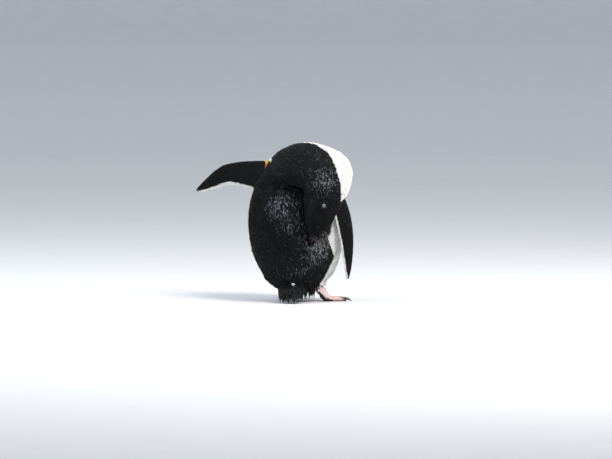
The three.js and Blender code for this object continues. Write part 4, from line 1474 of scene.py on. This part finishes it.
def horn_material(name, base, tone):
    """Horn: solid keratin with streaks 3 mm apart, half polished by use, so its gloss is broad and low."""
    made, tree, shader, place = material(name, Roughness=0.38, IOR=1.54)
    streak = node(tree, "ShaderNodeTexNoise", "Fac", Vector=place, Scale=lumps(3.0), Detail=6.0)
    colour = node(tree, "ShaderNodeMix", 2, COLOURS, i0=streak, i6=base, i7=tone)
    relief = node(tree, "ShaderNodeBump", Height=streak, Distance=0.12 / 1000, Strength=1.0)
    tree.links.new(colour, shader["Base Color"])
    tree.links.new(relief, shader["Normal"])
    return made


hard_parts = (
    (eyes.values(), "eye", eye_material()),
    (bills, "bill", horn_material("bill_horn", "#0b0808", "#1a100d")),
    (claws, "claw", horn_material("claw_horn", "#0f0d0d", "#262020")),
)
for things, slot, finish in hard_parts:
    for thing in things:
        thing.data.materials.clear()
        thing.data.materials.append(finish)
print("hard parts finished:", sum(len(things) for things, _, _ in hard_parts))

# %% [markdown]
# The bird wears a band with a two-colour bead on its left flipper. It is made, not grown, so its solids keep
# their exact shape and only get rounder edges and the finish of coloured plastic.

# %% Band and bead
EDGE_ROUNDING = {"width": 0.4 / 1000, "segments": 2, "limit_method": "ANGLE"}


def moulded_material(name, base, worn, roughness):
    """Injection-moulded plastic or rubber: fine grain, glossy once, and a little dulled by salt."""
    made, tree, shader, place = material(
        name, Roughness=roughness, IOR=1.49, Coat_Weight=0.35, Coat_Roughness=0.15)
    salt, grain = [
        node(tree, "ShaderNodeTexNoise", "Fac", Vector=place, Scale=lumps(size), Detail=NOISE_DETAIL)
        for size in (5, 0.7)]
    dulled = node(tree, "ShaderNodeMapRange", i0=salt, i1=0.45, i2=0.75, i3=0.0, i4=0.5)
    colour = node(tree, "ShaderNodeMix", 2, COLOURS, i0=dulled, i6=base, i7=worn)
    relief = node(tree, "ShaderNodeBump", Height=grain, Distance=0.05 / 1000, Strength=1.0)
    tree.links.new(colour, shader["Base Color"])
    tree.links.new(relief, shader["Normal"])
    return made


tag_finish = {
    "tag_band": ("strap", moulded_material("satin_rubber_band", "#141416", "#232326", 0.5)),
    "tag_yellow": ("tag_yellow", moulded_material("yellow_plastic", "#e8c21c", "#b8952a", 0.42)),
    "tag_orange": ("tag_orange", moulded_material("orange_plastic", "#e5603a", "#b54c40", 0.42)),
}
for name, (slot, finish) in tag_finish.items():
    thing = new_object("rounded_" + name, welded([name]))
    thing.data = finished(thing, ("BEVEL", EDGE_ROUNDING))
    thing.data.materials.clear()
    thing.data.materials.append(finish)
    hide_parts(name)
    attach(thing, "root")
print("tag pieces", len(tag_finish))

# %% [markdown]
# The camera stands well back with a long lens, as one does with a shy animal, so the bird shows its true
# proportions. It looks at the back, slightly from the right and from a little above the floor.

# %% Camera
PICTURE_PIXELS, PIXEL = 612, 2.6    # the picture's width, and mm to a pixel at the bird
AZIMUTH, ELEVATION = math.radians(210), math.radians(4)
DISTANCE = 14.0                     # metres
SENSOR = 36.0                       # mm
AIM_RIGHT, AIM_HIGH = 23.4, 186.0   # mm from the trunk's axis, and above the floor


def stand_at(thing, side, up, back, place):
    """Puts a camera or a lamp at a place, turned to look against its back direction."""
    columns = np.column_stack([side, up, back, place])
    thing.matrix_world = Matrix(np.vstack([columns, [0, 0, 0, 1]]).tolist())


rightward = np.array([math.cos(AZIMUTH), math.sin(AZIMUTH), 0])
backward = np.array([math.sin(AZIMUTH) * math.cos(ELEVATION), -math.cos(AZIMUTH) * math.cos(ELEVATION),
                     math.sin(ELEVATION)])
camera_place = to_metres(rightward * AIM_RIGHT + np.array([0, 0, AIM_HIGH])) + backward * DISTANCE
optics = bpy.data.cameras.new("camera")
optics.sensor_width = SENSOR
optics.lens = SENSOR * DISTANCE / (PICTURE_PIXELS * PIXEL / 1000)
camera = new_object("camera", optics)
stand_at(camera, rightward, np.cross(backward, rightward), backward, camera_place)
bpy.context.scene.camera = camera
print("lens", round(optics.lens, 1), "mm, camera at", camera_place.round(2))

# %% [markdown]
# The stage is plain: a pale floor that runs up into a wall a long way off, as a studio's cove does, so no
# horizon cuts the picture. It is one surface of revolution round the bird, drawn by turning a profile.

# %% Floor
FLAT_RINGS = (0.001, 3.0, 9.0)                    # metres from the middle
FLOOR_REACH, COVE, WALL_TOP = 20.0, 5.0, 12.0     # metres: flat floor, the curve up, and the wall
COVE_BENDS, ROUND = 12, 72
bends = np.linspace(0, math.pi / 2, COVE_BENDS)
profile = [(radius, 0.0) for radius in FLAT_RINGS]
profile += [(FLOOR_REACH + COVE * math.sin(bend), COVE * (1 - math.cos(bend))) for bend in bends]
profile.append((FLOOR_REACH + COVE, WALL_TOP))
turns = [math.tau * i / ROUND for i in range(ROUND)]
cove_points = [(radius * math.cos(turn), radius * math.sin(turn), height)
               for radius, height in profile for turn in turns]
cove_faces = []
for k in range(len(profile) - 1):
    for i in range(ROUND):
        j, a, b = (i + 1) % ROUND, k * ROUND, (k + 1) * ROUND
        cove_faces.append((a + i, b + i, b + j, a + j))
cove_faces.append(tuple(range(ROUND - 1, -1, -1)))
floor_mesh = bpy.data.meshes.new("floor")
floor_mesh.from_pydata(cove_points, [], cove_faces)
floor_mesh.polygons.foreach_set("use_smooth", np.ones(len(cove_faces), bool))
floor = new_object("floor", floor_mesh)
paint, tree, shader, place = material("matt_floor_paint", Roughness=0.9)
cloudy = node(tree, "ShaderNodeTexNoise", "Fac", Vector=place, Scale=lumps(60), Detail=NOISE_DETAIL)
tree.links.new(node(tree, "ShaderNodeMix", 2, COLOURS, i0=cloudy, i6="#d9dbde", i7="#dfe1e3"),
               shader["Base Color"])
floor_mesh.materials.append(paint)
print("floor and cove:", len(cove_faces), "faces")

# %% [markdown]
# The light is a bright overcast sky's: a pale surround fills the shadows from every side, and two broad soft
# lamps give the plumage its gleam, the stronger one from the bird's right.

# %% Light
SKY, SKY_STRENGTH = "#e4e9f0", 0.82
LAMP_AWAY, LAMP_SIZE, LAMP_AIM = 2.2, 1.6, 0.2    # metres: from the bird, across, and the aim above the floor
world = bpy.data.worlds.new("soft_surround")
world.use_nodes = True
surround = world.node_tree.nodes["Background"].inputs
surround["Color"].default_value = linear(SKY)
surround["Strength"].default_value = SKY_STRENGTH
bpy.context.scene.world = world
bpy.context.scene.view_settings.view_transform = "Standard"


def soft_light(name, azimuth, height, power, colour):
    data = bpy.data.lights.new(name, "AREA")
    data.shape = "DISK"
    data.size = LAMP_SIZE
    data.energy = power
    data.color = linear(colour)[:3]
    turn = math.radians(azimuth)
    place = np.array([math.sin(turn) * LAMP_AWAY, -math.cos(turn) * LAMP_AWAY, height])
    back = unit(place - np.array([0, 0, LAMP_AIM]))
    side = unit(np.cross([0, 0, 1.0], back))
    stand_at(new_object(name, data), side, np.cross(back, side), back, place)


soft_light("sky_right", 258, 2.6, 120, "#fff9f0")
soft_light("sky_left", 130, 2.4, 50, "#f2f6ff")

# %% [markdown]
# Last, the scene's view layer is brought up to date.

# %% Finish
bpy.context.view_layer.update()
